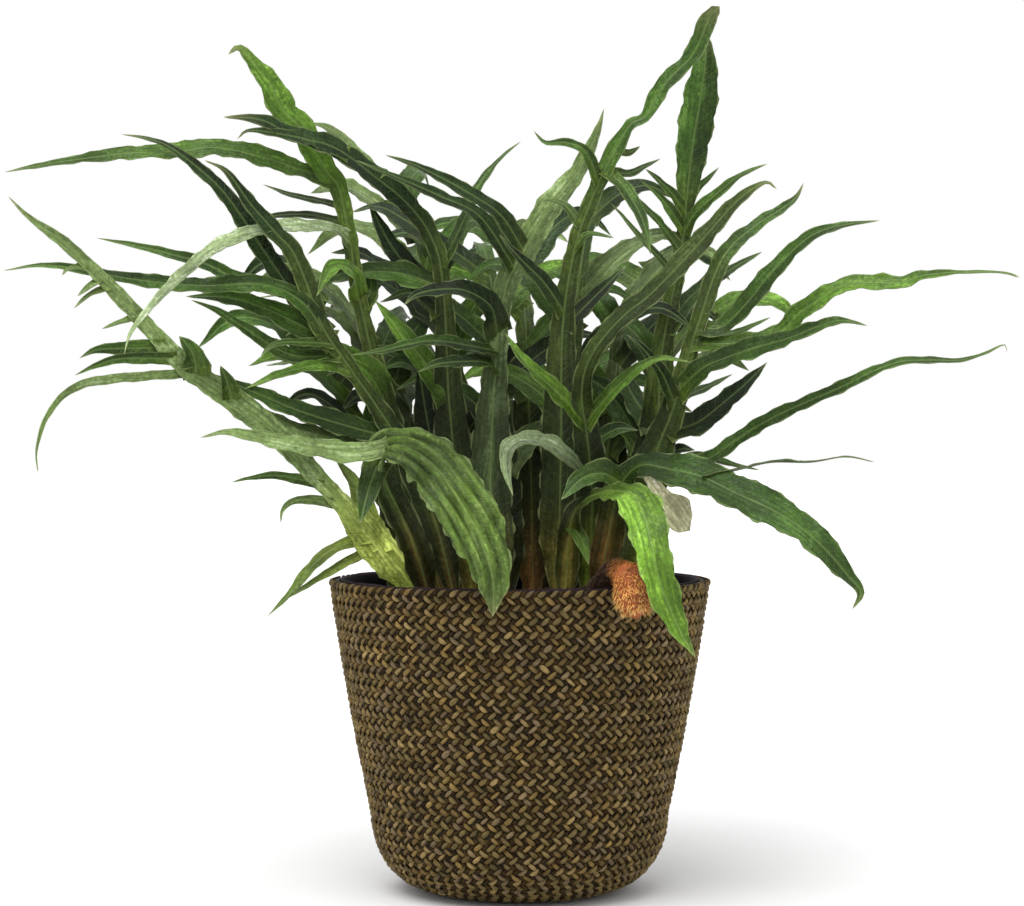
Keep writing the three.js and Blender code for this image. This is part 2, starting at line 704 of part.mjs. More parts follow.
    name: "frond_tall",
    wing: 24,
    path: [
      [22, 148, 12], [22, 158, 12], [22, 168, 12], [24, 255, 12], [25, 325, 12], [32, 371, 10],
      [40, 395, 8], [47, 412, 6], [53, 424, 5], [64, 443, 4], [73, 448, 4], [82, 464, 4], [90, 473, 5],
      [99, 482, 5], [105, 493, 5], [110, 505, 4], [116, 512, 3],
    ],
    widths: [
      [0, 7], [0.2, 7], [0.4, 9], [0.66, 9], [0.72, 12], [0.78, 6], [0.83, 10], [0.9, 10], [0.96, 12],
      [1, 6],
    ],
    lobes: [
      { width: 8, depth: -12, path: [[46, 410], [38, 428], [27, 433], [15, 433], [8, 440]] },
      { width: 9, depth: -18, path: [[50, 418], [59, 409], [67, 397], [72, 386], [76, 368]] },
      { width: 6, depth: 22, path: [[50, 418], [62, 415], [72, 419], [82, 424]] },
      { width: 5, depth: 12, path: [[55, 428], [63, 427], [70, 431]] },
      { width: 6, depth: 22, path: [[36, 385], [27, 396], [18, 400], [12, 399]] },
      { width: 5, depth: -10, path: [[33, 372], [40, 380], [55, 378]] },
      { width: 12, depth: -12, path: [[26, 335], [14, 352], [0, 366], [-12, 380]] },
      { width: 11, depth: 42, path: [[26, 325], [40, 340], [52, 352], [62, 362]] },
    ],
  },
  {
    name: "frond_upright_right",
    wing: 24,
    path: [
      [56, 148, 26], [56, 158, 26], [56, 168, 26], [68, 225, 28], [79, 262, 30], [83, 313, 34],
      [92, 360, 38], [96, 385, 40], [97, 400, 40], [101, 435, 40], [105, 458, 40], [108, 487, 38],
      [103, 500, 36],
    ],
    widths: [[0, 7], [0.2, 7], [0.35, 9], [0.7, 9], [0.76, 16], [0.84, 22], [0.9, 20], [0.96, 10], [1, 0]],
    lobes: [
      { width: 6, depth: 50, path: [[97, 392], [101, 404], [109, 412], [116, 419]] },
      { width: 8, depth: 28, path: [[95, 380], [102, 392], [114, 403], [128, 414], [144, 421]] },
      { width: 8, depth: 28, path: [[95, 393], [88, 404], [80, 412], [73, 418]] },
      { width: 8, depth: 18, path: [[94, 382], [86, 396], [78, 405], [70, 411]] },
      { width: 8, depth: 8, path: [[92, 370], [80, 388], [70, 398], [61, 406]] },
      { width: 6, depth: 0, path: [[90, 355], [72, 376], [62, 388], [53, 398]] },
      { width: 18, depth: 58, path: [[80, 268], [72, 277], [65, 288], [58, 304]] },
      { width: 12, depth: 62, path: [[85, 322], [96, 340], [108, 352], [118, 368]] },
    ],
  },
  {
    name: "frond_right",
    wing: 24,
    path: [
      [66, 148, 6], [66, 158, 6], [66, 168, 6], [73, 226, 4], [79, 252, 3], [89, 278, 2], [99, 313, 2],
      [105, 332, 4], [114, 358, 10], [123, 373, 14], [140, 387, 20], [151, 394, 24], [160, 401, 26],
      [165, 410, 28],
    ],
    widths: [[0, 7], [0.25, 7], [0.35, 10], [0.64, 10], [0.72, 11], [0.85, 9], [0.93, 6], [1, 0]],
    lobes: [
      {
        width: 13,
        depth: -12,
        path: [
          [104, 326], [117, 326], [131, 339], [143, 354], [154, 366], [166, 377], [178, 383], [192, 386],
          [209, 388],
        ],
      },
      {
        width: 12,
        depth: -40,
        outline: [[0, 0.8], [0.3, 1], [0.6, 0.9], [0.75, 0.55], [0.82, 0.2], [1, 0.1]],
        path: [
          [101, 316], [126, 317], [151, 323], [161, 333], [173, 342], [187, 350], [204, 352], [221, 352],
          [234, 356], [255, 358], [279, 358], [290, 355],
        ],
      },
      {
        width: 17,
        depth: -64,
        path: [
          [92, 289], [106, 302], [122, 309], [140, 315], [157, 320], [172, 326], [186, 330], [202, 327],
        ],
      },
      {
        width: 10,
        depth: -56,
        path: [
          [76, 240], [92, 246], [110, 250], [128, 262], [146, 273], [163, 281], [186, 291], [204, 300],
          [221, 306], [238, 307], [256, 307], [270, 311], [281, 316], [283, 311],
        ],
      },
      { width: 17, depth: 32, path: [[84, 264], [102, 270], [117, 281], [131, 293], [144, 306]] },
      { width: 6, depth: 44, path: [[112, 352], [125, 361], [141, 370]] },
      { width: 6, depth: 36, path: [[101, 318], [125, 323], [146, 332]] },
      { width: 6, depth: 42, path: [[92, 284], [108, 291], [124, 299]] },
      { width: 7, depth: 22, path: [[79, 246], [105, 251], [122, 247], [140, 243]] },
      { width: 11, depth: -24, path: [[90, 282], [82, 300], [70, 315], [62, 322]] },
    ],
  },
];

// The fronds at the back, which arch outwards by one rule: where each stands, the way that it
// leans, its reach and its height.
const BACK_FRONDS = [
  { wing: 28, stands: [8, 60], leans: 96, reach: 150, height: 225 },
  { wing: 22, stands: [-24, 66], leans: 118, reach: 150, height: 205 },
  { wing: 28, stands: [50, 56], leans: 74, reach: 160, height: 200 },
  { wing: 22, stands: [-50, 46], leans: 140, reach: 150, height: 185 },
  { wing: 22, stands: [64, 36], leans: 52, reach: 120, height: 170 },
  { wing: 22, stands: [20, 78], leans: 86, reach: 130, height: 130 },
  { wing: 22, stands: [-8, 40], leans: 104, reach: 90, height: 215 },
  { wing: 22, stands: [-72, 22], leans: 140, reach: 110, height: 140 },
  { wing: 22, stands: [-34, 46], leans: 134, reach: 90, height: 240 },
  { wing: 22, stands: [28, 30], leans: 72, reach: 80, height: 235 },
  { wing: 14, stands: [-64, 60], leans: 150, reach: 80, height: 170 },
];
const BACK_SEED = 4713;
const BACK_WIDTHS = [[0, 7], [0.25, 7], [0.33, 10], [0.8, 9], [0.88, 11], [1, 0]];
const BACK_TILT = 0.8; // how far a back frond's face is turned in, towards the plant's middle
const BACK_ARCH = 1.75; // the turn of the arch that it grows along, in radians
const BACK_LOBES = 7;
const FIRST_LOBE = 0.34; // where the first and the last lobe leave the midrib, as shares
const LAST_LOBE = 0.88;
const BACK_LOBE_LENGTH = 84;
const BACK_LOBE_WIDTH = 17;

// One frond of the back: it climbs from the soil and arches out, with lobes on both sides in turn.
function backFrond(plan, index, draw) {
  const lean = THREE.MathUtils.degToRad(plan.leans);
  const out = new THREE.Vector3(Math.cos(lean), Math.sin(lean), 0);
  const aside = new THREE.Vector3(-out.y, out.x, 0);
  const foot = new THREE.Vector3(...plan.stands, STALK_FOOT_HEIGHT);
  const ground = SOIL_CROWN_HEIGHT + 5;
  const path = [foot, foot.clone().setZ(STALK_FOOT_HEIGHT + 10), foot.clone().setZ(ground)];
  for (const share of [0.2, 0.4, 0.6, 0.8, 1]) {
    const point = foot.clone().addScaledVector(out, plan.reach * share ** 1.7);
    path.push(point.setZ(ground + plan.height * Math.sin(BACK_ARCH * share)));
  }
  const midrib = curveThrough(path);
  const lobes = [];
  for (let i = 0; i < BACK_LOBES; i++) {
    const side = i % 2 ? 1 : -1;
    const turn = i / (BACK_LOBES - 1);
    const share = FIRST_LOBE + (LAST_LOBE - FIRST_LOBE) * turn;
    const length = BACK_LOBE_LENGTH * Math.sin(Math.PI * (0.22 + 0.56 * turn)) * (0.85 + 0.3 * draw());
    const rise = 0.1 + 0.35 * draw();
    const sweep = 0.45 + 0.3 * draw();
    const along = midrib.getTangentAt(share);
    const way = aside.clone().multiplyScalar(side).addScaledVector(along, sweep).normalize();
    const at = (reach, height) => {
      const point = way.clone().multiplyScalar(reach * length);
      return point.setZ(point.z + height * length);
    };
    const offsets = [at(0.35, rise * 0.6), at(0.7, rise * 0.55), at(1, rise * 0.1 - 0.12)];
    lobes.push({ width: BACK_LOBE_WIDTH, share, offsets });
  }
  const facing = out.clone().multiplyScalar(-BACK_TILT).setZ(1 - BACK_TILT * 0.5).normalize();
  return { name: "frond_back_" + (index + 1), wing: plan.wing, path, facing, widths: BACK_WIDTHS, lobes };
}

// The rhizome creeps over the soil and leans out over the rim at the front right. It is clothed in
// narrow scales.
const RHIZOME_PATH = [
  [2, -34, 169.5], [20, -46, 170], [35, -62, 171], [44, -75, 178], [50, -87, 188],
  [55, -98, 189.5], [59, -107, 186], [61, -111, 178], [62, -113, 169],
];
const RHIZOME_RADII = [
  [0, 6], [0.3, 7], [0.5, 6.5], [0.64, 5.9], [0.77, 6.1], [0.85, 10], [0.93, 11], [1, 7],
];
const RHIZOME_SIDES = 8;
const RHIZOME_STEPS = 9;
const SCALES = 20;
const SCALE_LENGTH = 6;

function rhizome(draw) {
  const curve = curveThrough(RHIZOME_PATH.map((point) => new THREE.Vector3(...point)));
  const frameAt = (share) => {
    const along = curve.getTangentAt(share);
    const wide = along.clone().cross(new THREE.Vector3(0, 0, 1)).normalize();
    return { middle: curve.getPointAt(share), along, wide, up: wide.clone().cross(along) };
  };
  const around = (frame, angle, radius) =>
    frame.middle
      .clone()
      .addScaledVector(frame.wide, radius * Math.cos(angle))
      .addScaledVector(frame.up, radius * Math.sin(angle));
  const rings = [];
  for (let step = 0; step <= RHIZOME_STEPS; step++) {
    const share = step / RHIZOME_STEPS;
    const frame = frameAt(share);
    const radius = between(RHIZOME_RADII, share);
    rings.push(
      Array.from({ length: RHIZOME_SIDES }, (_, k) =>
        around(frame, (2 * Math.PI * k) / RHIZOME_SIDES, radius * (0.95 + 0.1 * draw())),
      ),
    );
  }
  const end = frameAt(1);
  const pieces = [solidOf(loft(rings, end.middle.clone().addScaledVector(end.along, 4)))];
  for (let i = 0; i < SCALES; i++) {
    const share = 0.12 + (0.84 * (i + 0.5)) / SCALES;
    const frame = frameAt(share);
    const angle = i * 2.4;
    const radius = between(RHIZOME_RADII, share);
    const root = around(frame, angle, radius - 2.2);
    const out = around(frame, angle, radius).sub(root).normalize();
    const point = root
      .clone()
      .addScaledVector(out, 1.5 + 2.2 * draw())
      .addScaledVector(frame.along, SCALE_LENGTH);
    const scaleSide = out.clone().cross(frame.along).normalize();
    const foot = [
      root.clone().addScaledVector(scaleSide, 1.6),
      root.clone().addScaledVector(out, 2.4),
      root.clone().addScaledVector(scaleSide, -1.6),
    ];
    pieces.push(solidOf(loft([foot], point)));
  }
  return fused(pieces);
}

// The whole pot plant

const FINISHES = {
  seagrass: finish("#6e5d38", 0.85),
  lining: finish("#2a2030", 0.5),
  soil: finish("#2b1c12", 1),
  scales: finish("#b0682c", 0.9),
  leaf: finish("#3c6a2c", 0.5),
  youngLeaf: finish("#6da33a", 0.5),
};

function pottedFern() {
  const plant = new THREE.Group();
  const holes = [];
  const draw = draws(BACK_SEED);
  const plans = [...FRONT_FRONDS, ...BACK_FRONDS.map((plan, index) => backFrond(plan, index, draw))];
  for (const plan of plans) {
    if (!(plan.path[0] instanceof THREE.Vector3)) plan.path = laid(plan.path);
    holes.push([plan.path[0].x, plan.path[0].y]);
  }
  const still = { basket: basket(), liner: liner(), potting_mix: soil(holes), rhizome: rhizome(draw) };
  for (const [name, solid] of Object.entries(still))
    placed.push({ frond: name, solid, box: solid.boundingBox() });

  plant.add(meshOf("basket", still.basket, FINISHES.seagrass));
  plant.add(meshOf("liner", still.liner, FINISHES.lining));
  plant.add(meshOf("potting_mix", still.potting_mix, FINISHES.soil));
  plant.add(meshOf("rhizome", still.rhizome, FINISHES.scales));
  for (const plan of plans) {
    const colour = plan.name === "frond_bright" ? FINISHES.youngLeaf : FINISHES.leaf;
    plant.add(meshOf(plan.name, frond(plan, draw), colour));
  }
  return plant;
}

export default pottedFern();
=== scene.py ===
# A potted Aglaomorpha coronans, the crown basket fern, in a round basket of braided seagrass.
# Sizes are in millimetres, as in the solids, and each mesh is made in metres. +Z is up, and the
# origin is on the floor at the centre of the basket's base.
import math
import bpy
import numpy as np
from mathutils.bvhtree import BVHTree
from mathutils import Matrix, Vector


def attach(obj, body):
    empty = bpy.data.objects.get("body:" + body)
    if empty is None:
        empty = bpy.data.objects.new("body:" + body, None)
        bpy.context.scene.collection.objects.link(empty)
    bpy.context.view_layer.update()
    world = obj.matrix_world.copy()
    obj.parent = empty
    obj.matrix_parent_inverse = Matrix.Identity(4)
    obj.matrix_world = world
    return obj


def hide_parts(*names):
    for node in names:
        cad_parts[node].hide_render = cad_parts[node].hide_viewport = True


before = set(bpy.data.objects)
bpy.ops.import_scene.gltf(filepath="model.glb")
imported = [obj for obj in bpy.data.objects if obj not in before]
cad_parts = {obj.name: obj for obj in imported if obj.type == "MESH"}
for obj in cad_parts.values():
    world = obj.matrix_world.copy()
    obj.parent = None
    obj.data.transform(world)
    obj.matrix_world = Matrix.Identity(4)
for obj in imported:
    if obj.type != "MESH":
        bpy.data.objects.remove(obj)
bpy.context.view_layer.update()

# The basket
# A plait of seagrass, sewn round and round from the middle of the base up to the rim. Each row of
# the plait shows two bands of slanting strands, khaki ones and dyed dark brown ones by turns.

MM = 0.001
BASKET_HEIGHT = 180
RIM_RADIUS = 110
SHOULDER_RADIUS = 85.8  # where the straight side meets the rounded bottom edge
SHOULDER_HEIGHT = 44
BASE_RADIUS = 46
SIDE_BULGE = 1.2
BASKET_WALL = 6
INSIDE_TOP = BASKET_HEIGHT - 2  # where the straight inner side starts, below the rim
INSIDE_BEND_HEIGHT = 24
FLOOR_EDGE_HEIGHT = 6  # the rounded edge between the inner side and the floor
FLOOR_EDGE_WIDTH = 10
SIDE_ROWS = 27
BASE_ROWS = 6
PLAIT_ROWS = BASE_ROWS + SIDE_ROWS
STRAND_PITCH = 7.0  # from one khaki strand to the next, round the basket
BAND_STAGGER = 0.31  # how far a band is turned on from the one below it, in strands
BASE_LIFT = 1.25  # keeps the strands under the base off the floor
BASE_LIFT_HEIGHT = 8
KHAKI_STRAND = dict(width=2.75, lean=40, reach=1.28, crest=0.75, foot=-1.6, rings=5)
DARK_STRAND = dict(width=2.5, lean=40, reach=1.2, crest=0.1, foot=-1.7, rings=3)
STRAND_SECTION = [(-0.5, -0.8), (-0.3, 0.55), (0.3, 0.55), (0.5, -0.8)]  # shares across and up
STRAND_HEIGHT = 0.9
STRAND_SINK = 0.5  # how far a strand's middle lies below its crest
STRAND_LENGTH = 7.0
UNEVEN = dict(reach=0.08, width=0.12, crest=0.16, place=0.35, colour=0.16)  # hand work is never even
SEAGRASS_DYES = [  # share of the khaki strands, and their colour
    (0.14, (82, 66, 36)), (0.26, (98, 80, 45)), (0.24, (104, 89, 54)), (0.14, (108, 92, 66)),
    (0.12, (120, 99, 56)), (0.1, (132, 112, 71)),
]
DARK_DYES = [(0.5, (44, 30, 7)), (0.3, (54, 39, 11)), (0.2, (64, 47, 17))]
CORE_DEPTH = 1.5  # how far the ground of the plait lies below its crests
CORE_RELIEF = 0.25
CORE_RIM = [(2.2, 1.2), (2.8, 0.4)]  # its top corners, in and down from the rim's outer edge
CORE_INNER_EDGE = 0.8  # how far its inner corner lies out from the basket's inner side
CORE_SIDES = 144
CORE_DARK = (24, 16, 4)
CORE_LIGHT = (50, 37, 16)


def linear(colour):
    """A colour given as on a screen, 0 to 255, as Blender's linear one."""
    share = np.asarray(colour, float) / 255
    return np.where(share <= 0.04045, share / 12.92, ((share + 0.055) / 1.055) ** 2.4)


def rgba(colour):
    return (*linear(colour), 1)


def placed(name, data):
    """An object in the scene, of a mesh, a light or a camera."""
    thing = bpy.data.objects.new(name, data)
    bpy.context.scene.collection.objects.link(thing)
    return thing


def add_piece(name, points, faces, material, node_names, colours=None, marks=None, crease=180):
    """Makes a mesh piece in the frame's place. `faces` lists arrays of corners, one array for each
    number of sides, `colours` is one linear colour a point, and `marks` names further numbers."""
    points = np.asarray(points, np.float32) * MM
    mesh = bpy.data.meshes.new(name)
    corners = np.concatenate([block.ravel() for block in faces]).astype(np.int32)
    sides = np.concatenate([np.full(len(block), block.shape[1]) for block in faces])
    mesh.vertices.add(len(points))
    mesh.vertices.foreach_set("co", points.ravel())
    mesh.loops.add(len(corners))
    mesh.loops.foreach_set("vertex_index", corners)
    mesh.polygons.add(len(sides))
    mesh.polygons.foreach_set("loop_start", np.append(0, np.cumsum(sides)[:-1]).astype(np.int32))
    mesh.polygons.foreach_set("use_smooth", np.ones(len(sides), bool))
    mesh.update(calc_edges=True)
    if colours is not None:
        paint = np.ones((len(points), 4), np.float32)
        paint[:, :3] = colours
        mesh.attributes.new("dye", "FLOAT_COLOR", "POINT").data.foreach_set("color", paint.ravel())
    for mark, values in (marks or {}).items():
        values = np.asarray(values, np.float32)
        kind, field = ("FLOAT", "value") if values.ndim == 1 else ("FLOAT_VECTOR", "vector")
        mesh.attributes.new(mark, kind, "POINT").data.foreach_set(field, values.ravel())
    mesh.set_sharp_from_angle(angle=math.radians(crease))
    mesh.materials.append(material)
    piece = placed(name, mesh)
    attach(piece, "root")
    if node_names:
        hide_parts(*node_names)


def ring_quads(rings, sides):
    """The quads between closed rings of points, in the order of the points."""
    ring, side = np.meshgrid(np.arange(rings - 1), np.arange(sides), indexing="ij")
    a, b = ring * sides + side, ring * sides + (side + 1) % sides
    return np.stack([a, b, b + sides, a + sides], -1).reshape(-1, 4)


def new_material(name):
    """A material with its Principled shader, as (material, node tree, shader)."""
    material = bpy.data.materials.new(name)
    material.use_nodes = True
    tree = material.node_tree
    return material, tree, tree.nodes["Principled BSDF"]


def fill(tree, node, inputs):
    """Gives a shader node's sockets values, or other nodes' sockets to link."""
    for key, value in inputs.items():
        if isinstance(value, bpy.types.NodeSocket):
            tree.links.new(value, node.inputs[key])
        else:
            node.inputs[key].default_value = value


def put(tree, kind, inputs=None, **settings):
    """Adds a shader node."""
    node = tree.nodes.new(kind)
    for key, value in settings.items():
        setattr(node, key, value)
    fill(tree, node, inputs or {})
    return node


def attribute(tree, name, output):
    """What a mesh says under a name at each place on it."""
    return put(tree, "ShaderNodeAttribute", attribute_name=name).outputs[output]


def maths(tree, operation, *values):
    """A Math node's result."""
    return put(tree, "ShaderNodeMath", dict(enumerate(values)), operation=operation).outputs[0]


def ramp(tree, value, low, high, to_low=0.0, to_high=1.0):
    """Takes a value from low to high smoothly to new limits."""
    inputs = {"Value": value, "From Min": low, "From Max": high, "To Min": to_low, "To Max": to_high}
    return put(tree, "ShaderNodeMapRange", inputs, interpolation_type="SMOOTHSTEP").outputs["Result"]


def blend(tree, factor, below, above, way="MIX"):
    """Mixes two colours."""
    inputs = {"Factor": factor, 6: below, 7: above}
    return put(tree, "ShaderNodeMix", inputs, data_type="RGBA", blend_type=way).outputs[2]


def vector(tree, x, y, z):
    return put(tree, "ShaderNodeCombineXYZ", {"X": x, "Y": y, "Z": z}).outputs[0]


def tinted(tree, colour, red, green, blue):
    """A colour with its three parts multiplied."""
    tint = put(tree, "ShaderNodeCombineColor", {"Red": red, "Green": green, "Blue": blue}).outputs[0]
    return blend(tree, 1.0, colour, tint, "MULTIPLY")


def relief(tree, height, distance, strength):
    """The surface's direction with low relief on it."""
    inputs = {"Height": height, "Distance": distance, "Strength": strength}
    return put(tree, "ShaderNodeBump", inputs).outputs[0]


def effect(name, inputs, output):
    """A shared node group from named numbers to one number, as (group, its inputs, its output)."""
    group = bpy.data.node_groups.new(name, "ShaderNodeTree")
    for label, value in inputs.items():
        socket = group.interface.new_socket(label, in_out="INPUT", socket_type="NodeSocketFloat")
        socket.default_value = value
    group.interface.new_socket(output, in_out="OUTPUT", socket_type="NodeSocketFloat")
    return group, group.nodes.new("NodeGroupInput").outputs, group.nodes.new("NodeGroupOutput").inputs[output]


def use(tree, group, **inputs):
    """Places a shared effect in a material, and gives its number."""
    return put(tree, "ShaderNodeGroup", inputs, node_tree=group).outputs[0]


def noise(tree, place, scale, **inputs):
    return put(tree, "ShaderNodeTexNoise", {"Vector": place, "Scale": scale, **inputs}).outputs["Fac"]


# Mottling: soft patches over fine grain, which varies a colour or a roughness all over a surface.
mottling, given, wanted = effect("mottling", {"Patches": 40.0, "Grain": 600.0}, "Shade")
place = put(mottling, "ShaderNodeTexCoord").outputs["Object"]
patches = noise(mottling, place, given["Patches"], Detail=2.0)
grain = maths(mottling, "MULTIPLY", noise(mottling, place, given["Grain"], Detail=3.0), 0.4)
mottling.links.new(maths(mottling, "MULTIPLY_ADD", patches, 0.6, grain), wanted)

# Fibres: fine streaks along a strand or a blade, from coordinates in millimetres along and across.
fibres, given, wanted = effect("fibres", {"Along": 0.0, "Across": 0.0, "Seed": 0.0}, "Streaks")
slow = maths(fibres, "MULTIPLY", given["Along"], 0.25)
fast = maths(fibres, "MULTIPLY", given["Across"], 2.6)
apart = maths(fibres, "MULTIPLY", given["Seed"], 91.0)
fibres.links.new(noise(fibres, vector(fibres, slow, fast, apart), 1.0, Detail=3.0, Roughness=0.6), wanted)


def basket_radius(height):
    """The basket's outer radius at a height, or at an array of heights."""
    drop = np.clip(1 - height / SHOULDER_HEIGHT, 0, 1)
    rounded = BASE_RADIUS + (SHOULDER_RADIUS - BASE_RADIUS) * np.sqrt(1 - drop**2)
    up = np.clip((height - SHOULDER_HEIGHT) / (BASKET_HEIGHT - SHOULDER_HEIGHT), 0, 1)
    straight = SHOULDER_RADIUS + (RIM_RADIUS - SHOULDER_RADIUS) * up
    return np.where(height < SHOULDER_HEIGHT, rounded, straight + SIDE_BULGE * np.sin(np.pi * up))


# The plait's way from the middle of the base to the rim, as a line to be read by rows.
side_heights = BASKET_HEIGHT * np.linspace(0, 1, 400) ** 2
side_line = np.column_stack([basket_radius(side_heights), side_heights])
side_walk = np.append(0, np.cumsum(np.linalg.norm(np.diff(side_line, axis=0), axis=1)))
row_height = side_walk[-1] / SIDE_ROWS
plait_rows = np.concatenate([np.linspace(0, BASE_ROWS, 40)[:-1], BASE_ROWS + side_walk / row_height])
base_line = np.column_stack([np.linspace(0, BASE_RADIUS, 40)[:-1], np.zeros(39)])
plait_line = np.vstack([base_line, side_line])


def on_plait(rows, turns, rise):
    """Points at a number of rows from the middle, an angle and a height above the plait's surface."""
    at, ahead, behind = (
        [np.interp(rows + step, plait_rows, plait_line[:, k]) for k in (0, 1)] for step in (0, 0.15, -0.15)
    )
    dr, dz = ahead[0] - behind[0], ahead[1] - behind[1]
    size = np.hypot(dr, dz) + 1e-9
    lift = BASE_LIFT * np.clip(1 - at[1] / BASE_LIFT_HEIGHT, 0, 1)
    radius = at[0] + rise * dz / size
    return np.stack([radius * np.cos(turns), radius * np.sin(turns), at[1] - rise * dr / size + lift], -1)


def pick(dyes, values):
    """Picks a linear colour for each value from 0 to 1 by the dyes' shares."""
    edges = np.cumsum([share for share, _ in dyes])
    table = np.array([linear(colour) for _, colour in dyes])
    return table[np.minimum(np.searchsorted(edges / edges[-1], values), len(dyes) - 1)]


def add_strands(name, strand, dyes, offset, seed):
    """All strands of one kind, each of them closed and bulging in its middle."""
    rng = np.random.default_rng(seed)
    starts = []
    for band in range(2 * PLAIT_ROWS):
        radius = np.interp((band + 0.5) / 2, plait_rows, plait_line[:, 0])
        count = max(4, int(round(2 * math.pi * radius / STRAND_PITCH)))
        turns = (np.arange(count) + offset + BAND_STAGGER * band) * 2 * math.pi / count
        starts.append(np.column_stack([np.full(count, band), turns, np.full(count, radius)]))
    band, turns, radius = np.vstack(starts).T
    count = len(band)
    middle = (band + 0.5) / 2
    way = np.where(band % 2, 1.0, -1.0)
    shares = np.linspace(-1, 1, strand["rings"])
    lean = math.radians(strand["lean"])
    tall = 0.5 * strand["reach"] * (1 + UNEVEN["reach"] * rng.normal(size=count))
    wide = tall * row_height / math.tan(lean) / 2
    girth = strand["width"] * (1 + UNEVEN["width"] * rng.normal(size=count))
    crest = strand["crest"] + UNEVEN["crest"] * rng.normal(size=count)
    jog = UNEVEN["place"] * rng.normal(size=count)
    rings = []
    for share in shares:
        bulge = math.cos(share * math.pi / 2) ** 0.7 if abs(share) < 1 else 0
        narrow = 0.55 + 0.45 * bulge
        for across, high in STRAND_SECTION:
            along_side = way * wide * share + across * girth * narrow * math.sin(lean) + jog
            up_side = tall * row_height / 2 * share - way * across * girth * narrow * math.cos(lean)
            swell = (crest - strand["foot"]) * bulge
            rise = strand["foot"] + swell + high * STRAND_HEIGHT * narrow - STRAND_SINK
            rings.append(on_plait(middle + up_side / row_height, turns + along_side / radius, rise))
    points = np.stack(rings, 1)
    sides = len(STRAND_SECTION)
    corners = sides * strand["rings"]
    ends = [(3, 2, 1, 0), [corners - sides + k for k in range(sides)]]
    quads = np.vstack([ring_quads(strand["rings"], sides), ends])
    faces = (quads[None] + corners * np.arange(count)[:, None, None]).reshape(-1, 4)
    patch = np.sin(turns * 5.3 + middle * 2.9) * np.sin(turns * 11.7 - middle * 5.1)
    picked = pick(dyes, np.clip(rng.random(count) * 0.7 + 0.15 + 0.15 * (1 + patch), 0, 0.999))
    picked = picked * (1 + UNEVEN["colour"] * rng.normal(size=(count, 1))).clip(0.55, 1.6)
    along = np.repeat(np.repeat(shares * STRAND_LENGTH / 2, sides)[None], count, 0).ravel()
    across = np.tile([part[0] * strand["width"] for part in STRAND_SECTION], count * strand["rings"])
    place = np.column_stack([along, across, np.repeat(rng.random(count), corners)])
    colours = np.repeat(picked, corners, axis=0)
    add_piece(name, points.reshape(-1, 3), [faces], seagrass, [], colours, {"strand": place})


seagrass, tree, shader = new_material("seagrass")
x, y, z = put(tree, "ShaderNodeSeparateXYZ", {0: attribute(tree, "strand", "Vector")}).outputs
streaks = use(tree, fibres, Along=x, Across=y, Seed=z)
shade = use(tree, mottling, Patches=60.0, Grain=900.0)
streaked = ramp(tree, streaks, 0.35, 0.65, 0.62, 1.22)
tone_shift = maths(tree, "MULTIPLY", streaked, ramp(tree, shade, 0.3, 0.7, 0.8, 1.2))
fill(tree, shader, {
    "Base Color": tinted(tree, attribute(tree, "dye", "Color"), tone_shift, tone_shift, tone_shift),
    "Roughness": ramp(tree, streaks, 0.3, 0.7, 0.82, 0.6),
    "Specular IOR Level": 0.16,
    "Normal": relief(tree, streaks, 0.0005, 0.6),
})
add_strands("basket_khaki_strands", KHAKI_STRAND, SEAGRASS_DYES, 0.0, 11)
add_strands("basket_dark_strands", DARK_STRAND, DARK_DYES, 0.5, 12)


def turned(profile, sides):
    """Turns a profile of (radius, height) round the axis, as points and quads. A profile that
    starts and ends on the axis keeps a tiny ring there."""
    turns = 2 * math.pi * np.arange(sides) / sides
    profile = np.asarray(profile, float)
    radius = np.maximum(profile[:, :1], 0.02)
    heights = np.repeat(profile[:, 1:], sides, 1)
    points = np.stack([radius * np.cos(turns), radius * np.sin(turns), heights], -1)
    return points, ring_quads(len(profile), sides)


def wall_inside(inset, top):
    """The inside of the basket, or of what lines it, from the top down to the axis."""
    edge = inset + FLOOR_EDGE_HEIGHT
    heights = np.array([top, SHOULDER_HEIGHT, INSIDE_BEND_HEIGHT, edge])
    radii = basket_radius(heights) - inset
    return np.column_stack([[*radii, radii[-1] - FLOOR_EDGE_WIDTH, 0], [*heights, inset, inset]])


core_rows = np.linspace(0, PLAIT_ROWS, 4 * PLAIT_ROWS + 1)
core_rise = -CORE_DEPTH - CORE_RELIEF * np.cos(2 * np.pi * core_rows)
core_side = on_plait(core_rows, np.zeros(len(core_rows)), core_rise)[:, [0, 2]]
core_rim = [(RIM_RADIUS - aside, BASKET_HEIGHT - down) for aside, down in CORE_RIM]
core_rim.append((RIM_RADIUS - BASKET_WALL + CORE_INNER_EDGE, core_rim[-1][1]))
core_inside = wall_inside(BASKET_WALL, INSIDE_TOP)
points, faces = turned(np.vstack([core_side[:-1], core_rim, core_inside]), CORE_SIDES)

ground, tree, shader = new_material("seagrass_ground")
shade = use(tree, mottling, Patches=150.0, Grain=1600.0)
fill(tree, shader, {
    "Base Color": blend(tree, ramp(tree, shade, 0.35, 0.7), rgba(CORE_DARK), rgba(CORE_LIGHT)),
    "Roughness": 0.9,
    "Normal": relief(tree, shade, 0.001, 0.8),
})
add_piece("basket_ground", points.reshape(-1, 3), [faces], ground, ["basket"])
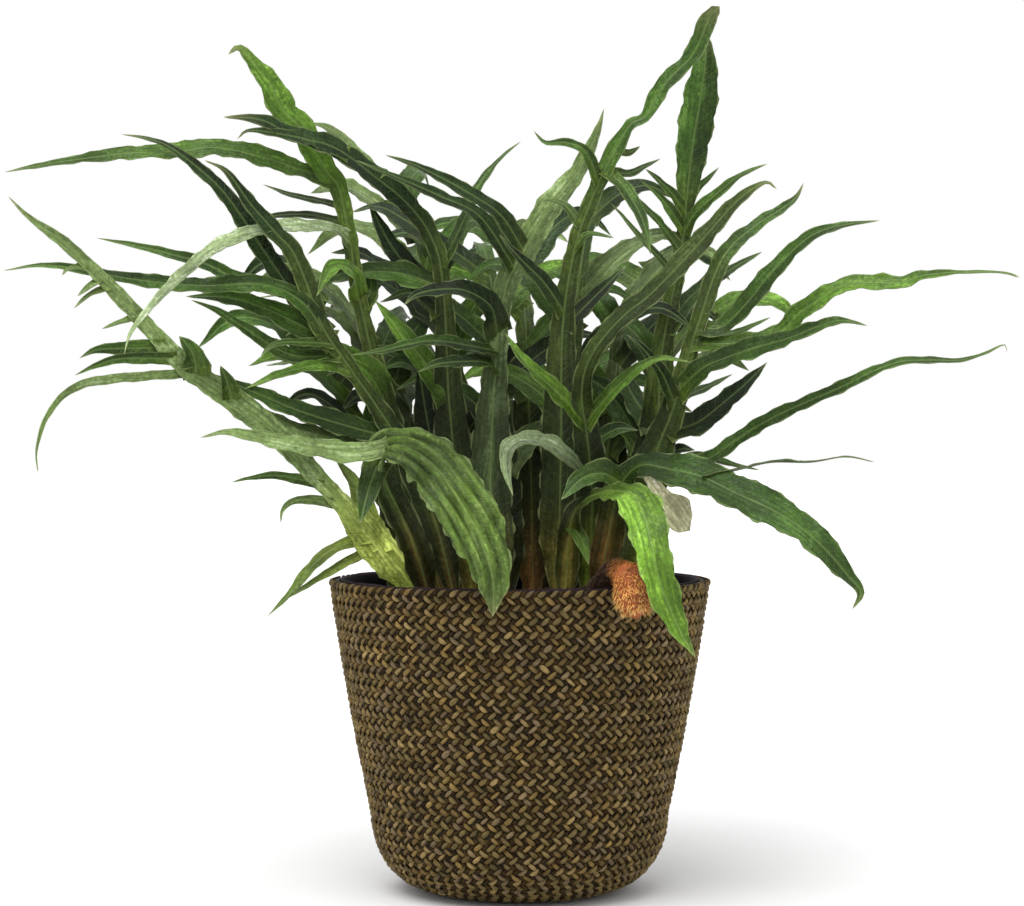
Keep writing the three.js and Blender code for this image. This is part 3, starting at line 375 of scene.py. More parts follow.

# The lining
# A thin dark plastic film inside the basket. It stands a little above the rim, where it turns
# paler towards its cut edge, and it lies in soft folds above the soil.

LINER_WALL = 0.6
LINER_GAP = 0.4
LINER_ABOVE_RIM = 1.0
LINER_SIDES = 160
LINER_INSET = 1.0  # the folds start this far from the basket's wall
FOLDS = [(9, 0.5), (14, 0.4), (23, 0.35), (37, 0.2)]  # how many round the basket, and how deep
FOLD_DEPTH = 1.3
FOLDS_FROM = 100  # the height where the folds begin, and over what height they grow
FOLDS_GROW = 40
PALE_FROM = 0.1802  # in metres: the heights between which the film turns pale towards its edge
PALE_FULLY = 0.1812
LINING_DARK = (13, 9, 14)
LINING_SHEEN = (22, 15, 23)
LINING_EDGE = (56, 44, 50)

liner_out = BASKET_WALL + LINER_GAP
liner_top = BASKET_HEIGHT + LINER_ABOVE_RIM
outside = wall_inside(liner_out, INSIDE_TOP)[::-1]
inside = wall_inside(liner_out + LINER_WALL, INSIDE_TOP)
upper_heights = np.linspace(SHOULDER_HEIGHT + 10, BASKET_HEIGHT - 3, 14)
upper_out = np.column_stack([basket_radius(upper_heights) - liner_out - LINER_INSET, upper_heights])
upper_in = (upper_out - (LINER_WALL, 0))[::-1]
edge = [(RIM_RADIUS - liner_out, liner_top), (RIM_RADIUS - liner_out - LINER_WALL, liner_top)]
points, faces = turned(np.vstack([outside[:-1], upper_out, edge, upper_in, inside[1:]]), LINER_SIDES)
turns = 2 * math.pi * np.arange(LINER_SIDES) / LINER_SIDES
folds = 0.9 + sum(size * np.sin(count * turns + count) for count, size in FOLDS) / 1.5
heights = points[:, :, 2]
high = np.clip((heights - FOLDS_FROM) / FOLDS_GROW, 0, 1) * np.clip((liner_top - heights) / 6, 0, 1)
radius = np.hypot(points[:, :, 0], points[:, :, 1])[:, :, None]
points[:, :, :2] *= 1 - (high * folds * FOLD_DEPTH)[:, :, None] / np.maximum(radius, 1)
uneven = 0.35 * (np.sin(7 * turns + 1) + np.sin(17 * turns) + 0.6 * np.sin(41 * turns + 2)) / 2
points[:, :, 2] += np.where(heights > BASKET_HEIGHT, uneven - 0.3, 0)

lining, tree, shader = new_material("lining_film")
place = put(tree, "ShaderNodeTexCoord").outputs["Object"]
height = put(tree, "ShaderNodeSeparateXYZ", {0: place}).outputs["Z"]
shade = use(tree, mottling, Patches=55.0, Grain=700.0)
tone_shift = ramp(tree, maths(tree, "MULTIPLY_ADD", shade, 0.002, height), PALE_FROM, PALE_FULLY)
film = blend(tree, ramp(tree, shade, 0.4, 0.65), rgba(LINING_DARK), rgba(LINING_SHEEN))
fill(tree, shader, {
    "Base Color": blend(tree, tone_shift, film, rgba(LINING_EDGE)),
    "Roughness": ramp(tree, shade, 0.3, 0.7, 0.7, 0.88),
    "Specular IOR Level": 0.08,
    "Normal": relief(tree, shade, 0.0008, 0.5),
})
add_piece("lining_folds", points.reshape(-1, 3), [faces], lining, ["liner"])

# The soil
# Dark potting mix with bark chips and a few pale grains of pumice, filled to below the rim and
# heaped a little round the stalks.

SOIL_EDGE_HEIGHT = 157
SOIL_CROWN_HEIGHT = 163
SOIL_INSET = BASKET_WALL + 3 * LINER_GAP + 1.2
SOIL_SIDES = 96
SOIL_RINGS = 46
SOIL_GRAIN = 0.35
CRUMBS = 2600
CRUMB_SIZE = 0.7  # the smallest
CRUMB_RANGE = 1.6
SOIL_DARK = (34, 24, 16)
BARK = (86, 56, 34)
PUMICE = (170, 160, 142)
SOIL_SHARE = 0.72  # of the crumbs
BARK_SHARE = 0.24

rng = np.random.default_rng(21)
soil_radius = float(basket_radius(np.array(float(SOIL_EDGE_HEIGHT)))) - SOIL_INSET


def soil_height(x, y):
    """The height of the soil's uneven surface at a place on it."""
    crown = np.clip(1 - (np.hypot(x, y) / soil_radius) ** 2, 0, 1)
    lumps = 0.8 * np.sin(x / 7.1 + 1) * np.sin(y / 6.3) + 0.5 * np.sin(x / 3.1) * np.sin(y / 3.7 + 2)
    return SOIL_EDGE_HEIGHT + (SOIL_CROWN_HEIGHT - SOIL_EDGE_HEIGHT) * crown + lumps


rings = soil_radius * np.sqrt(np.linspace(1, 0, SOIL_RINGS))
below = wall_inside(SOIL_INSET, SOIL_EDGE_HEIGHT - 4)[::-1]
flat = np.column_stack([rings, np.full(SOIL_RINGS, SOIL_EDGE_HEIGHT)])
points, soil_faces = turned(np.vstack([below, flat]), SOIL_SIDES)
surface = points[len(below):]
surface[:, :, 2] = soil_height(surface[:, :, 0], surface[:, :, 1])
surface[:, :, 2] += SOIL_GRAIN * rng.normal(size=surface.shape[:2])
soil_points = points.reshape(-1, 3)

# A crumb is a lump with twenty faces, each of them out of shape in its own way.
golden = (1 + 5**0.5) / 2
lump = np.array([(s, golden * t, 0) for s in (1, -1) for t in (1, -1)])
lump = np.vstack([lump, lump[:, [2, 0, 1]], lump[:, [1, 2, 0]]]) / 1.9
gaps = np.linalg.norm(lump[:, None] - lump[None], axis=-1)
lump_faces = np.array([
    (a, b, c) for a in range(12) for b in range(a + 1, 12) for c in range(b + 1, 12)
    if max(gaps[a, b], gaps[b, c], gaps[a, c]) < 1.1
])
a, b, c = (lump[lump_faces[:, k]] for k in range(3))
inward = np.einsum("ij,ij->i", np.cross(b - a, c - a), a) < 0
lump_faces[inward] = lump_faces[inward][:, ::-1]
turn = rng.random(CRUMBS) * 2 * math.pi
reach = (soil_radius - 2) * np.sqrt(rng.random(CRUMBS))
size = CRUMB_SIZE + CRUMB_RANGE * rng.random(CRUMBS) ** 3
shape = size[:, None] * (0.6 + 0.8 * rng.random((CRUMBS, 3))) * (1, 1, 0.6)
x, y = reach * np.cos(turn), reach * np.sin(turn)
middle = np.column_stack([x, y, soil_height(x, y) + 0.25 * size])
crumbs = lump[None] * shape[:, None] * (0.75 + 0.5 * rng.random((CRUMBS, 12, 1))) + middle[:, None]
crumb_faces = (lump_faces[None] + 12 * np.arange(CRUMBS)[:, None, None]).reshape(-1, 3) + len(soil_points)
kinds = [(SOIL_SHARE, SOIL_DARK), (BARK_SHARE, BARK), (1 - SOIL_SHARE - BARK_SHARE, PUMICE)]
crumb_dye = pick(kinds, rng.random(CRUMBS)) * (0.7 + 0.7 * rng.random((CRUMBS, 1)))
colours = np.vstack([np.tile(linear(SOIL_DARK), (len(soil_points), 1)), np.repeat(crumb_dye, 12, axis=0)])

mix, tree, shader = new_material("potting_mix")
shade = use(tree, mottling, Patches=220.0, Grain=1500.0)
light = ramp(tree, shade, 0.3, 0.7, 0.55, 1.5)
fill(tree, shader, {
    "Base Color": tinted(tree, attribute(tree, "dye", "Color"), light, light, light),
    "Roughness": 0.95,
    "Normal": relief(tree, shade, 0.0015, 0.9),
})
points = np.vstack([soil_points, crumbs.reshape(-1, 3)])
add_piece("soil_surface", points, [soil_faces, crumb_faces], mix, ["potting_mix"], colours)

# The leaves' bends
# In the frame each leaf is bent along the line of sight by just enough to clear its neighbours. Its
# bend is found again here by matching the leaf's corners to its frond's solid.

EYE_DISTANCE = 1500  # the fronds at the front are laid out as seen from here
EYE_HEIGHT = 274
FRONT_FACING = np.array([0, -0.8, 0.6])
BLADE_THICKNESS = 0.8
STALK_THICKNESS = 4.6
BLADE_FOLD = 0.16
BLADE_WAVE = 0.12
WAVE_LENGTH = 46
RIGHT_EDGE_SHIFT = 2.1
LOBE_STEP = 34  # length of a lobe's straight pieces in its solid
LOBE_STEPS = (3, 5)  # the fewest and the most of them
FROND_STEP = 32
FROND_STEPS = (8, 11)
BEND_SHIFTS = [0, 7, -7, 14, -14, 21, -21, 30, -30, 40, -40, 52, -52]
BEND_BOWS = [0, 6, -6, 12, -12, 19, -19, 27, -27]
BENDS = [(shift, bow) for shift in BEND_SHIFTS for bow in BEND_BOWS]
BENDS.sort(key=lambda bend: abs(bend[0]) + 1.5 * abs(bend[1]))
GOOD_MATCH = 0.03  # how far off the solid a leaf's corners may lie
WORST_MATCH = 0.4


def unit(vectors):
    return vectors / np.linalg.norm(vectors, axis=-1, keepdims=True)


def seen(places, depth):
    """Points seen at [x, z] from the front, set at their depths."""
    places, depth = np.atleast_2d(places), np.atleast_1d(depth)
    scale = 1 + depth / EYE_DISTANCE
    return np.column_stack([places[:, 0] * scale, depth, EYE_HEIGHT + (places[:, 1] - EYE_HEIGHT) * scale])


def seen_at(points):
    points = np.atleast_2d(points)
    scale = 1 + points[:, 1] / EYE_DISTANCE
    return np.column_stack([points[:, 0] / scale, EYE_HEIGHT + (points[:, 2] - EYE_HEIGHT) / scale])


def walked(points):
    """How far along a path each of its points lies."""
    return np.append(0, np.cumsum(np.linalg.norm(np.diff(points, axis=0), axis=1)))


def laid(path, tip_depth=None):
    """Sets a given path in space. Depths that a point doesn't set run evenly between the others."""
    places = np.array([point[:2] for point in path], float)
    along = walked(places)
    depths = [point[2] if len(point) > 2 else None for point in path]
    if depths[-1] is None:
        depths[-1] = tip_depth
    known = [i for i, depth in enumerate(depths) if depth is not None]
    return seen(places, np.interp(along, along[known], [depths[i] for i in known]))


def bent(points, bend):
    """Bends a path along the line of sight: the shift moves its tip and the bow its middle."""
    share = walked(points)
    share = share / share[-1]
    return seen(seen_at(points), points[:, 1] + bend[0] * share + bend[1] * 4 * share * (1 - share))


class Rib:
    """The smooth line down the middle of a leaf, walked by shares of its length."""

    def __init__(self, points):
        self.points = np.array(points, float)
        self.marks = np.linspace(0, len(points) - 1, 201)
        self.walk = walked(self.through(self.marks))
        self.length = self.walk[-1]

    def through(self, marks):
        first, last = self.points[0], self.points[-1]
        padded = np.vstack([2 * first - self.points[1], self.points, 2 * last - self.points[-2]])
        start = np.clip(np.floor(marks).astype(int), 0, len(self.points) - 2)
        t = (marks - start)[:, None]
        a, b, c, d = (padded[start + k] for k in range(4))
        leave, arrive = (c - a) / 2, (d - b) / 2
        stay = (2 * t**3 - 3 * t**2 + 1) * b + (3 * t**2 - 2 * t**3) * c
        return stay + (t**3 - 2 * t**2 + t) * leave + (t**3 - t**2) * arrive

    def at(self, shares):
        return self.through(np.interp(np.asarray(shares, float) * self.length, self.walk, self.marks))


def blade_frame(rib, leaf, shares):
    """A blade's middle, and its crosswise and upright directions, at shares of its length."""
    along = unit(rib.at(np.minimum(1, shares + 0.01)) - rib.at(np.maximum(0, shares - 0.01)))
    flat = unit(np.cross(along, leaf["facing"]))
    up = np.cross(flat, along)
    roll = np.radians(leaf["roll"] + leaf["twist"] * shares)[:, None]
    return rib.at(shares), flat * np.cos(roll) + up * np.sin(roll), up * np.cos(roll) - flat * np.sin(roll)


def edge_waves(rib, leaf, shares, side):
    """How far a blade's edge rises, as a share of its half width."""
    turn = 2 * math.pi * shares * rib.length / WAVE_LENGTH + leaf["phase"]
    return BLADE_FOLD + BLADE_WAVE * np.sin(turn + (RIGHT_EDGE_SHIFT if side > 0 else 0))


def solid_corners(rib, leaf):
    """The corners that the leaf's own solid has."""
    shares = np.arange(leaf["steps"]) / leaf["steps"]
    middle, wide, up = blade_frame(rib, leaf, shares)
    half = leaf["width"](shares)[:, None] / 2
    corners = [rib.points[-1:]]
    for side in (-1, 1):
        edge = middle + wide * side * half + up * half * edge_waves(rib, leaf, shares, side)[:, None]
        corners += [edge + up * BLADE_THICKNESS / 2, edge - up * BLADE_THICKNESS / 2]
    return np.vstack(corners)


def settle(points, leaf, solid):
    """Finds how a leaf lies in its frond's solid, or None if it was left out."""
    best, found = WORST_MATCH, None
    for bend in BENDS:
        rib = Rib(bent(points, bend))
        corners = solid_corners(rib, leaf)
        off = np.median([solid.find_nearest(corner * MM)[3] / MM for corner in corners])
        if off < best:
            best, found = off, rib
        if off < GOOD_MATCH:
            break
    return found


def steps_for(points, step, limits):
    return min(limits[1], max(limits[0], math.floor(Rib(points).length / step + 0.5)))


def draws(seed):
    """A seeded run of numbers from 0 to 1."""
    state = seed
    while True:
        state = state * 16807 % 2147483647
        yield state / 2147483647


# The fronds at the front
# Long leathery fronds, each one grown piece: a stalk that stands in the soil, a winged midrib and
# side lobes. They are laid out one by one: `path` runs from the soil along the midrib to the tip, and
# `widths` pairs shares of its length with the strip's width. `foot` is the stalk's colour low down.


def lobe(tone, width, depth, path, **bends):
    """A side lobe: its colour and width, how far back its tip lies, and its midrib as [x, z]."""
    return dict(tone=tone, width=width, depth=depth, path=path, **bends)


FRONT_FRONDS = [
    dict(name="frond_front_left", tone="pleated", wing=18, path=[
        [-52, 148, -42], [-52, 158, -42], [-53, 168, -43], [-62, 200, -52], [-78, 234, -66],
        [-82, 250, -78], [-70, 257, -92], [-52, 247, -106], [-36, 226, -117], [-23, 202, -124],
        [-16, 180, -127], [-16, 158, -126],
    ], widths=[
        [0, 7], [0.3, 9], [0.42, 20], [0.52, 28], [0.7, 34], [0.82, 31], [0.92, 20], [1, 0],
    ], lobes=[
        lobe("grey", 14, -104, [
            [-76, 255], [-98, 253], [-127, 257], [-156, 263], [-172, 265], [-186, 262],
        ]),
        lobe("mid", 14, -96, [[-82, 248], [-88, 232], [-93, 212]]),
    ]),
    dict(name="frond_bright", tone="bright", wing=14, path=[
        [26, 148, -28], [26, 158, -28], [26, 168, -28], [28, 195, -32], [31, 215, -42], [40, 226, -56],
        [53, 230, -74], [65, 228, -94], [72, 216, -110], [76, 200, -121], [79, 186, -126], [83, 172, -127],
        [88, 160, -126], [94, 147, -124], [102, 134, -120],
    ], widths=[
        [0, 6], [0.3, 6], [0.42, 9], [0.52, 18], [0.6, 24], [0.72, 20], [0.85, 17], [0.93, 10], [1, 0],
    ], lobes=[
        lobe("fresh", 8, -48, [[30, 210], [36, 202], [40, 188]]),
    ]),
    dict(name="frond_low_right", tone="mid", wing=18, path=[
        [46, 148, -20], [46, 158, -20], [46, 168, -20], [52, 205, -26], [58, 232, -34], [70, 245, -44],
        [87, 243, -56], [105, 239, -66], [126, 229, -76], [148, 219, -84], [166, 207, -90], [180, 194, -95],
        [190, 182, -98], [198, 172, -100], [193, 162, -102],
    ], widths=[
        [0, 7], [0.2, 7], [0.34, 12], [0.42, 21], [0.55, 24], [0.7, 22], [0.82, 17], [0.92, 9], [1, 0],
    ], lobes=[
        lobe("deep", 7, -50, [
            [105, 239], [128, 244], [146, 248], [169, 248], [189, 251], [206, 248],
        ], roll=60),
        lobe("pale", 20, -26, [
            [72, 243], [80, 231], [89, 221], [99, 208],
        ], outline=[[0, 0.3], [0.45, 0.5], [0.7, 1], [0.88, 0.9], [1, 0]]),
        lobe("mid", 18, -62, [[60, 236], [48, 241], [36, 238], [24, 226]]),
    ]),
    dict(name="frond_left_long", tone="grey", wing=0, foot="lime", foot_reach=1.9, path=[
        [-61, 148, -22], [-61, 158, -22], [-63, 170, -24], [-80, 194, -36], [-108, 228, -52],
        [-149, 270, -68], [-194, 303, -80], [-228, 339, -88], [-260, 371, -94], [-284, 389, -98],
        [-297, 402, -100],
    ], widths=[
        [0, 8], [0.09, 8], [0.14, 24], [0.19, 24], [0.26, 12], [0.36, 12], [0.45, 16], [0.56, 15],
        [0.64, 11], [0.75, 9], [0.9, 7], [1, 0],
    ], lobes=[
        lobe("grey", 6, -122, [
            [-190, 299], [-216, 298], [-240, 296], [-257, 292], [-269, 283], [-277, 270], [-281, 254],
            [-280, 241],
        ], roll=62),
        lobe("grey", 6, -70, [[-104, 222], [-122, 226], [-132, 225], [-138, 220], [-139, 212]], roll=40),
        lobe("mid", 6, -58, [[-116, 233], [-139, 240], [-155, 239], [-168, 236]], roll=60),
        lobe("mid", 9, -96, [[-206, 314], [-226, 314], [-246, 313], [-256, 308]], roll=35),
        lobe("mid", 7, -104, [[-201, 307], [-231, 308], [-246, 304], [-259, 298]], roll=50),
        lobe("grey", 4, -90, [[-221, 333], [-233, 329], [-243, 325]]),
        lobe("grey", 4, -92, [[-237, 350], [-250, 345], [-259, 337]]),
        lobe("grey", 4, -92, [[-243, 354], [-250, 350], [-257, 344]]),
        lobe("grey", 4, -94, [[-252, 362], [-262, 360], [-266, 356]]),
        lobe("mid", 14, -78, [[-187, 298], [-190, 311], [-198, 321]]),
        lobe("mid", 10, -74, [[-168, 282], [-170, 294], [-174, 304]]),
        lobe("mid", 8, -60, [[-92, 200], [-107, 198], [-121, 187], [-134, 171], [-147, 158]]),
        lobe("mid", 6, -50, [[-88, 194], [-100, 190], [-127, 174], [-140, 166]]),
        lobe("mid", 15, -20, [[-82, 194], [-88, 214], [-95, 234], [-107, 250]]),
    ]),
    dict(name="frond_front_centre", tone="brown", wing=20, path=[
        [40, 148, -6], [40, 158, -6], [40, 168, -6], [42, 226, -16], [39, 262, -26], [36, 282, -34],
        [38, 300, -44], [46, 316, -54], [60, 332, -62], [76, 345, -68], [99, 369, -74], [113, 385, -78],
        [127, 400, -82], [142, 410, -86], [149, 406, -88],
    ], widths=[
        [0, 7], [0.25, 7], [0.35, 9], [0.48, 10], [0.58, 13], [0.8, 13], [0.9, 9], [1, 0],
    ], lobes=[
        lobe("bright", 13, -64, [[38, 270], [26, 284], [10, 299], [0, 310], [-9, 323]]),
        lobe("fresh", 10, -66, [[38, 268], [47, 281], [58, 293], [70, 303], [82, 308], [99, 306]]),
        lobe("silver", 14, -84, [
            [41, 240], [34, 246], [27, 252], [15, 259], [2, 261], [-7, 256], [-8, 243], [-4, 228],
        ]),
    ]),
    dict(name="frond_left_mid", tone="deep", wing=18, path=[
        [-37, 148, 2], [-37, 158, 2], [-38, 168, 1], [-50, 215, -4], [-72, 262, -12], [-98, 301, -20],
        [-114, 325, -24], [-124, 352, -26], [-132, 370, -28], [-141, 380, -30], [-156, 397, -34],
        [-170, 416, -38], [-183, 423, -40],
    ], widths=[
        [0, 7], [0.25, 7], [0.35, 9], [0.6, 10], [0.68, 11], [0.8, 12], [0.9, 8], [1, 0],
    ], lobes=[
        lobe("deep", 13, -16, [
            [-113, 323], [-133, 348], [-149, 371], [-162, 391], [-176, 409], [-199, 428], [-214, 435],
            [-231, 438],
        ]),
        lobe("mid", 13, -64, [
            [-114, 320], [-127, 341], [-150, 351], [-185, 350], [-226, 354], [-257, 360], [-278, 362],
            [-300, 359],
        ]),
        lobe("mid", 17, -34, [[-108, 316], [-124, 325], [-146, 336], [-168, 343], [-194, 344]]),
        lobe("mid", 9, -14, [
            [-121, 342], [-162, 354], [-182, 363], [-200, 368], [-220, 373], [-246, 378],
        ], roll=25),
        lobe("mid", 11, -40, [[-104, 309], [-133, 310], [-162, 327], [-176, 336], [-191, 342]]),
        lobe("mid", 7, -52, [[-108, 316], [-121, 317], [-139, 317], [-147, 313], [-151, 307]]),
        lobe("fresh", 9, -50, [[-98, 301], [-115, 304], [-139, 299], [-160, 290]]),
        lobe("mid", 17, -66, [[-70, 262], [-98, 268], [-127, 277], [-156, 289], [-182, 300]]),
        lobe("grey", 14, -60, [[-66, 254], [-98, 259], [-127, 266], [-150, 277], [-168, 288]]),
    ]),
    dict(name="frond_upper_left", tone="fresh", wing=18, path=[
        [-44, 148, 22], [-44, 158, 22], [-45, 168, 22], [-58, 215, 24], [-72, 258, 24], [-82, 296, 22],
        [-93, 342, 18], [-99, 380, 14], [-105, 406, 12], [-112, 416, 10], [-127, 441, 6], [-137, 452, 4],
        [-145, 467, 2], [-156, 481, 0], [-163, 488, -2], [-169, 484, -4],
    ], widths=[
        [0, 7], [0.25, 7], [0.35, 9], [0.68, 9], [0.73, 13], [0.82, 18], [0.9, 15], [0.96, 8], [1, 0],
    ], lobes=[
        lobe("olive", 15, -30, [
            [-107, 410], [-147, 424], [-176, 430], [-197, 428], [-226, 427], [-243, 425], [-272, 421],
            [-299, 416],
        ]),
        lobe("silver", 11, -118, [
            [-99, 376], [-110, 384], [-144, 384], [-165, 378], [-180, 370], [-195, 358], [-206, 347],
            [-217, 335], [-226, 323], [-230, 310],
        ]),
        lobe("deep", 6, 34, [[-100, 386], [-120, 391], [-139, 391], [-162, 388]]),
        lobe("deep", 5, 24, [[-102, 395], [-115, 399], [-133, 403], [-149, 409]]),
        lobe("fresh", 22, -62, [[-80, 284], [-86, 297], [-98, 307], [-110, 313], [-121, 314], [-128, 306]]),
        lobe("mid", 10, 30, [[-92, 337], [-86, 348], [-88, 362]]),
        lobe("fresh", 13, -34, [[-93, 342], [-97, 358], [-108, 361], [-118, 344]]),
    ]),
    dict(name="frond_centre_left", tone="deep", wing=22, path=[
        [-26, 148, 34], [-26, 158, 34], [-27, 168, 34], [-35, 225, 36], [-41, 284, 36], [-43, 330, 34],
        [-46, 362, 30], [-51, 377, 27], [-58, 389, 24], [-69, 401, 20], [-84, 413, 14], [-98, 424, 8],
        [-110, 431, 3], [-133, 438, -4], [-150, 446, -8], [-172, 448, -12],
    ], widths=[
        [0, 7], [0.25, 7], [0.35, 9], [0.6, 10], [0.66, 14], [0.76, 15], [0.86, 14], [0.93, 10], [1, 0],
    ], lobes=[
        lobe("deep", 10, -26, [[-100, 424], [-121, 434], [-139, 438], [-157, 440], [-164, 435]]),
        lobe("grey", 10, 25, [[-82, 411], [-98, 430], [-110, 441], [-123, 445]]),
        lobe("mid", 9, 44, [[-45, 360], [-36, 380], [-31, 391], [-23, 409], [-11, 424], [1, 434]], roll=20),
        lobe("mid", 6, 34, [[-46, 366], [-49, 380], [-53, 391]]),
        lobe("mid", 17, 0, [[-45, 350], [-69, 357], [-85, 358], [-104, 357], [-115, 351], [-120, 342]]),
        lobe("deep", 17, 52, [[-44, 335], [-60, 354], [-76, 376], [-88, 400]]),
        lobe("fresh", 17, 16, [[-41, 284], [-54, 304], [-68, 322], [-84, 342]]),
        lobe("deep", 25, 44, [[-33, 212], [-44, 238], [-52, 264], [-59, 306]]),
        lobe("deep", 14, 60, [[-51, 377], [-66, 388], [-82, 396], [-97, 393]]),
    ]),
    dict(name="frond_grey", tone="grey", wing=26, path=[
        [-12, 148, 18], [-12, 158, 18], [-12, 168, 18], [-17, 225, 22], [-14, 300, 28], [-8, 348, 32],
        [8, 379, 36], [20, 399, 38], [33, 415, 40], [41, 430, 42], [46, 442, 43], [49, 453, 44],
    ], widths=[
        [0, 7], [0.06, 8], [0.13, 18], [0.3, 22], [0.38, 9], [0.58, 11], [0.7, 18], [0.82, 15], [0.92, 8],
        [1, 0],
    ], lobes=[
        lobe("deep", 12, 10, [[2, 371], [-11, 391], [-28, 403], [-46, 413], [-63, 421], [-78, 426]]),
        lobe("deep", 11, 0, [[-6, 362], [-23, 390], [-46, 402], [-69, 412], [-95, 423]]),
        lobe("deep", 18, -24, [[-10, 322], [-17, 338], [-31, 347], [-46, 348], [-60, 345], [-67, 339]]),
        lobe("mid", 10, -44, [[-12, 312], [-46, 318], [-65, 316], [-81, 312], [-98, 310]]),
        lobe("mid", 12, -30, [[-13, 302], [-23, 306], [-46, 305], [-59, 300]]),
    ]),
    dict(name="frond_tall", tone="mid", wing=24, path=[
        [22, 148, 12], [22, 158, 12], [22, 168, 12], [24, 255, 12], [25, 325, 12], [32, 371, 10],
        [40, 395, 8], [47, 412, 6], [53, 424, 5], [64, 443, 4], [73, 448, 4], [82, 464, 4], [90, 473, 5],
        [99, 482, 5], [105, 493, 5], [110, 505, 4], [116, 512, 3],
    ], widths=[
        [0, 7], [0.2, 7], [0.4, 9], [0.66, 9], [0.72, 12], [0.78, 6], [0.83, 10], [0.9, 10], [0.96, 12],
        [1, 6],
    ], lobes=[
        lobe("mid", 8, -12, [[46, 410], [38, 428], [27, 433], [15, 433], [8, 440]]),
        lobe("mid", 9, -18, [[50, 418], [59, 409], [67, 397], [72, 386], [76, 368]]),
        lobe("deep", 6, 22, [[50, 418], [62, 415], [72, 419], [82, 424]]),
        lobe("deep", 5, 12, [[55, 428], [63, 427], [70, 431]]),
        lobe("mid", 6, 22, [[36, 385], [27, 396], [18, 400], [12, 399]]),
        lobe("mid", 5, -10, [[33, 372], [40, 380], [55, 378]]),
        lobe("deep", 12, -12, [[26, 335], [14, 352], [0, 366], [-12, 380]]),
        lobe("deep", 11, 42, [[26, 325], [40, 340], [52, 352], [62, 362]]),
    ]),
    dict(name="frond_upright_right", tone="mid", wing=24, path=[
        [56, 148, 26], [56, 158, 26], [56, 168, 26], [68, 225, 28], [79, 262, 30], [83, 313, 34],
        [92, 360, 38], [96, 385, 40], [97, 400, 40], [101, 435, 40], [105, 458, 40], [108, 487, 38],
        [103, 500, 36],
    ], widths=[
        [0, 7], [0.2, 7], [0.35, 9], [0.7, 9], [0.76, 16], [0.84, 22], [0.9, 20], [0.96, 10], [1, 0],
    ], lobes=[
        lobe("mid", 6, 50, [[97, 392], [101, 404], [109, 412], [116, 419]]),
        lobe("mid", 8, 28, [[95, 380], [102, 392], [114, 403], [128, 414], [144, 421]]),
        lobe("mid", 8, 28, [[95, 393], [88, 404], [80, 412], [73, 418]]),
        lobe("mid", 8, 18, [[94, 382], [86, 396], [78, 405], [70, 411]]),
        lobe("mid", 8, 8, [[92, 370], [80, 388], [70, 398], [61, 406]]),
        lobe("mid", 6, 0, [[90, 355], [72, 376], [62, 388], [53, 398]]),
        lobe("mid", 18, 58, [[80, 268], [72, 277], [65, 288], [58, 304]]),
        lobe("mid", 12, 62, [[85, 322], [96, 340], [108, 352], [118, 368]]),
    ]),
    dict(name="frond_right", tone="mid", wing=24, path=[
        [66, 148, 6], [66, 158, 6], [66, 168, 6], [73, 226, 4], [79, 252, 3], [89, 278, 2], [99, 313, 2],
        [105, 332, 4], [114, 358, 10], [123, 373, 14], [140, 387, 20], [151, 394, 24], [160, 401, 26],
        [165, 410, 28],
    ], widths=[
        [0, 7], [0.25, 7], [0.35, 10], [0.64, 10], [0.72, 11], [0.85, 9], [0.93, 6], [1, 0],
    ], lobes=[
        lobe("mid", 13, -12, [
            [104, 326], [117, 326], [131, 339], [143, 354], [154, 366], [166, 377], [178, 383], [192, 386],
            [209, 388],
        ]),
        lobe("fresh", 12, -40, [
            [101, 316], [126, 317], [151, 323], [161, 333], [173, 342], [187, 350], [204, 352], [221, 352],
            [234, 356], [255, 358], [279, 358], [290, 355],
        ], outline=[[0, 0.8], [0.3, 1], [0.6, 0.9], [0.75, 0.55], [0.82, 0.2], [1, 0.1]]),
        lobe("mid", 17, -64, [
            [92, 289], [106, 302], [122, 309], [140, 315], [157, 320], [172, 326], [186, 330], [202, 327],
        ]),
        lobe("mid", 10, -56, [
            [76, 240], [92, 246], [110, 250], [128, 262], [146, 273], [163, 281], [186, 291], [204, 300],
            [221, 306], [238, 307], [256, 307], [270, 311], [281, 316], [283, 311],
        ]),
        lobe("deep", 17, 32, [[84, 264], [102, 270], [117, 281], [131, 293], [144, 306]]),
        lobe("mid", 6, 44, [[112, 352], [125, 361], [141, 370]]),
        lobe("mid", 6, 36, [[101, 318], [125, 323], [146, 332]]),
        lobe("mid", 6, 42, [[92, 284], [108, 291], [124, 299]]),
        lobe("mid", 7, 22, [[79, 246], [105, 251], [122, 247], [140, 243]]),
        lobe("deep", 11, -24, [[90, 282], [82, 300], [70, 315], [62, 322]]),
    ]),
]

# The fronds at the back
# The photo can't show these, so they climb and arch outwards by one rule: where each stands, the way
# that it leans, its reach and its height. They fill the plant out on its far side.

BACK_FRONDS = [
    dict(wing=28, stands=(8, 60), leans=96, reach=150, height=225),
    dict(wing=22, stands=(-24, 66), leans=118, reach=150, height=205),
    dict(wing=28, stands=(50, 56), leans=74, reach=160, height=200),
    dict(wing=22, stands=(-50, 46), leans=140, reach=150, height=185),
    dict(wing=22, stands=(64, 36), leans=52, reach=120, height=170),
    dict(wing=22, stands=(20, 78), leans=86, reach=130, height=130),
    dict(wing=22, stands=(-8, 40), leans=104, reach=90, height=215),
    dict(wing=22, stands=(-72, 22), leans=140, reach=110, height=140),
    dict(wing=22, stands=(-34, 46), leans=134, reach=90, height=240),
    dict(wing=22, stands=(28, 30), leans=72, reach=80, height=235),
    dict(wing=14, stands=(-64, 60), leans=150, reach=80, height=170),
]
BACK_SEED = 4713
BACK_WIDTHS = [[0, 7], [0.25, 7], [0.33, 10], [0.8, 9], [0.88, 11], [1, 0]]
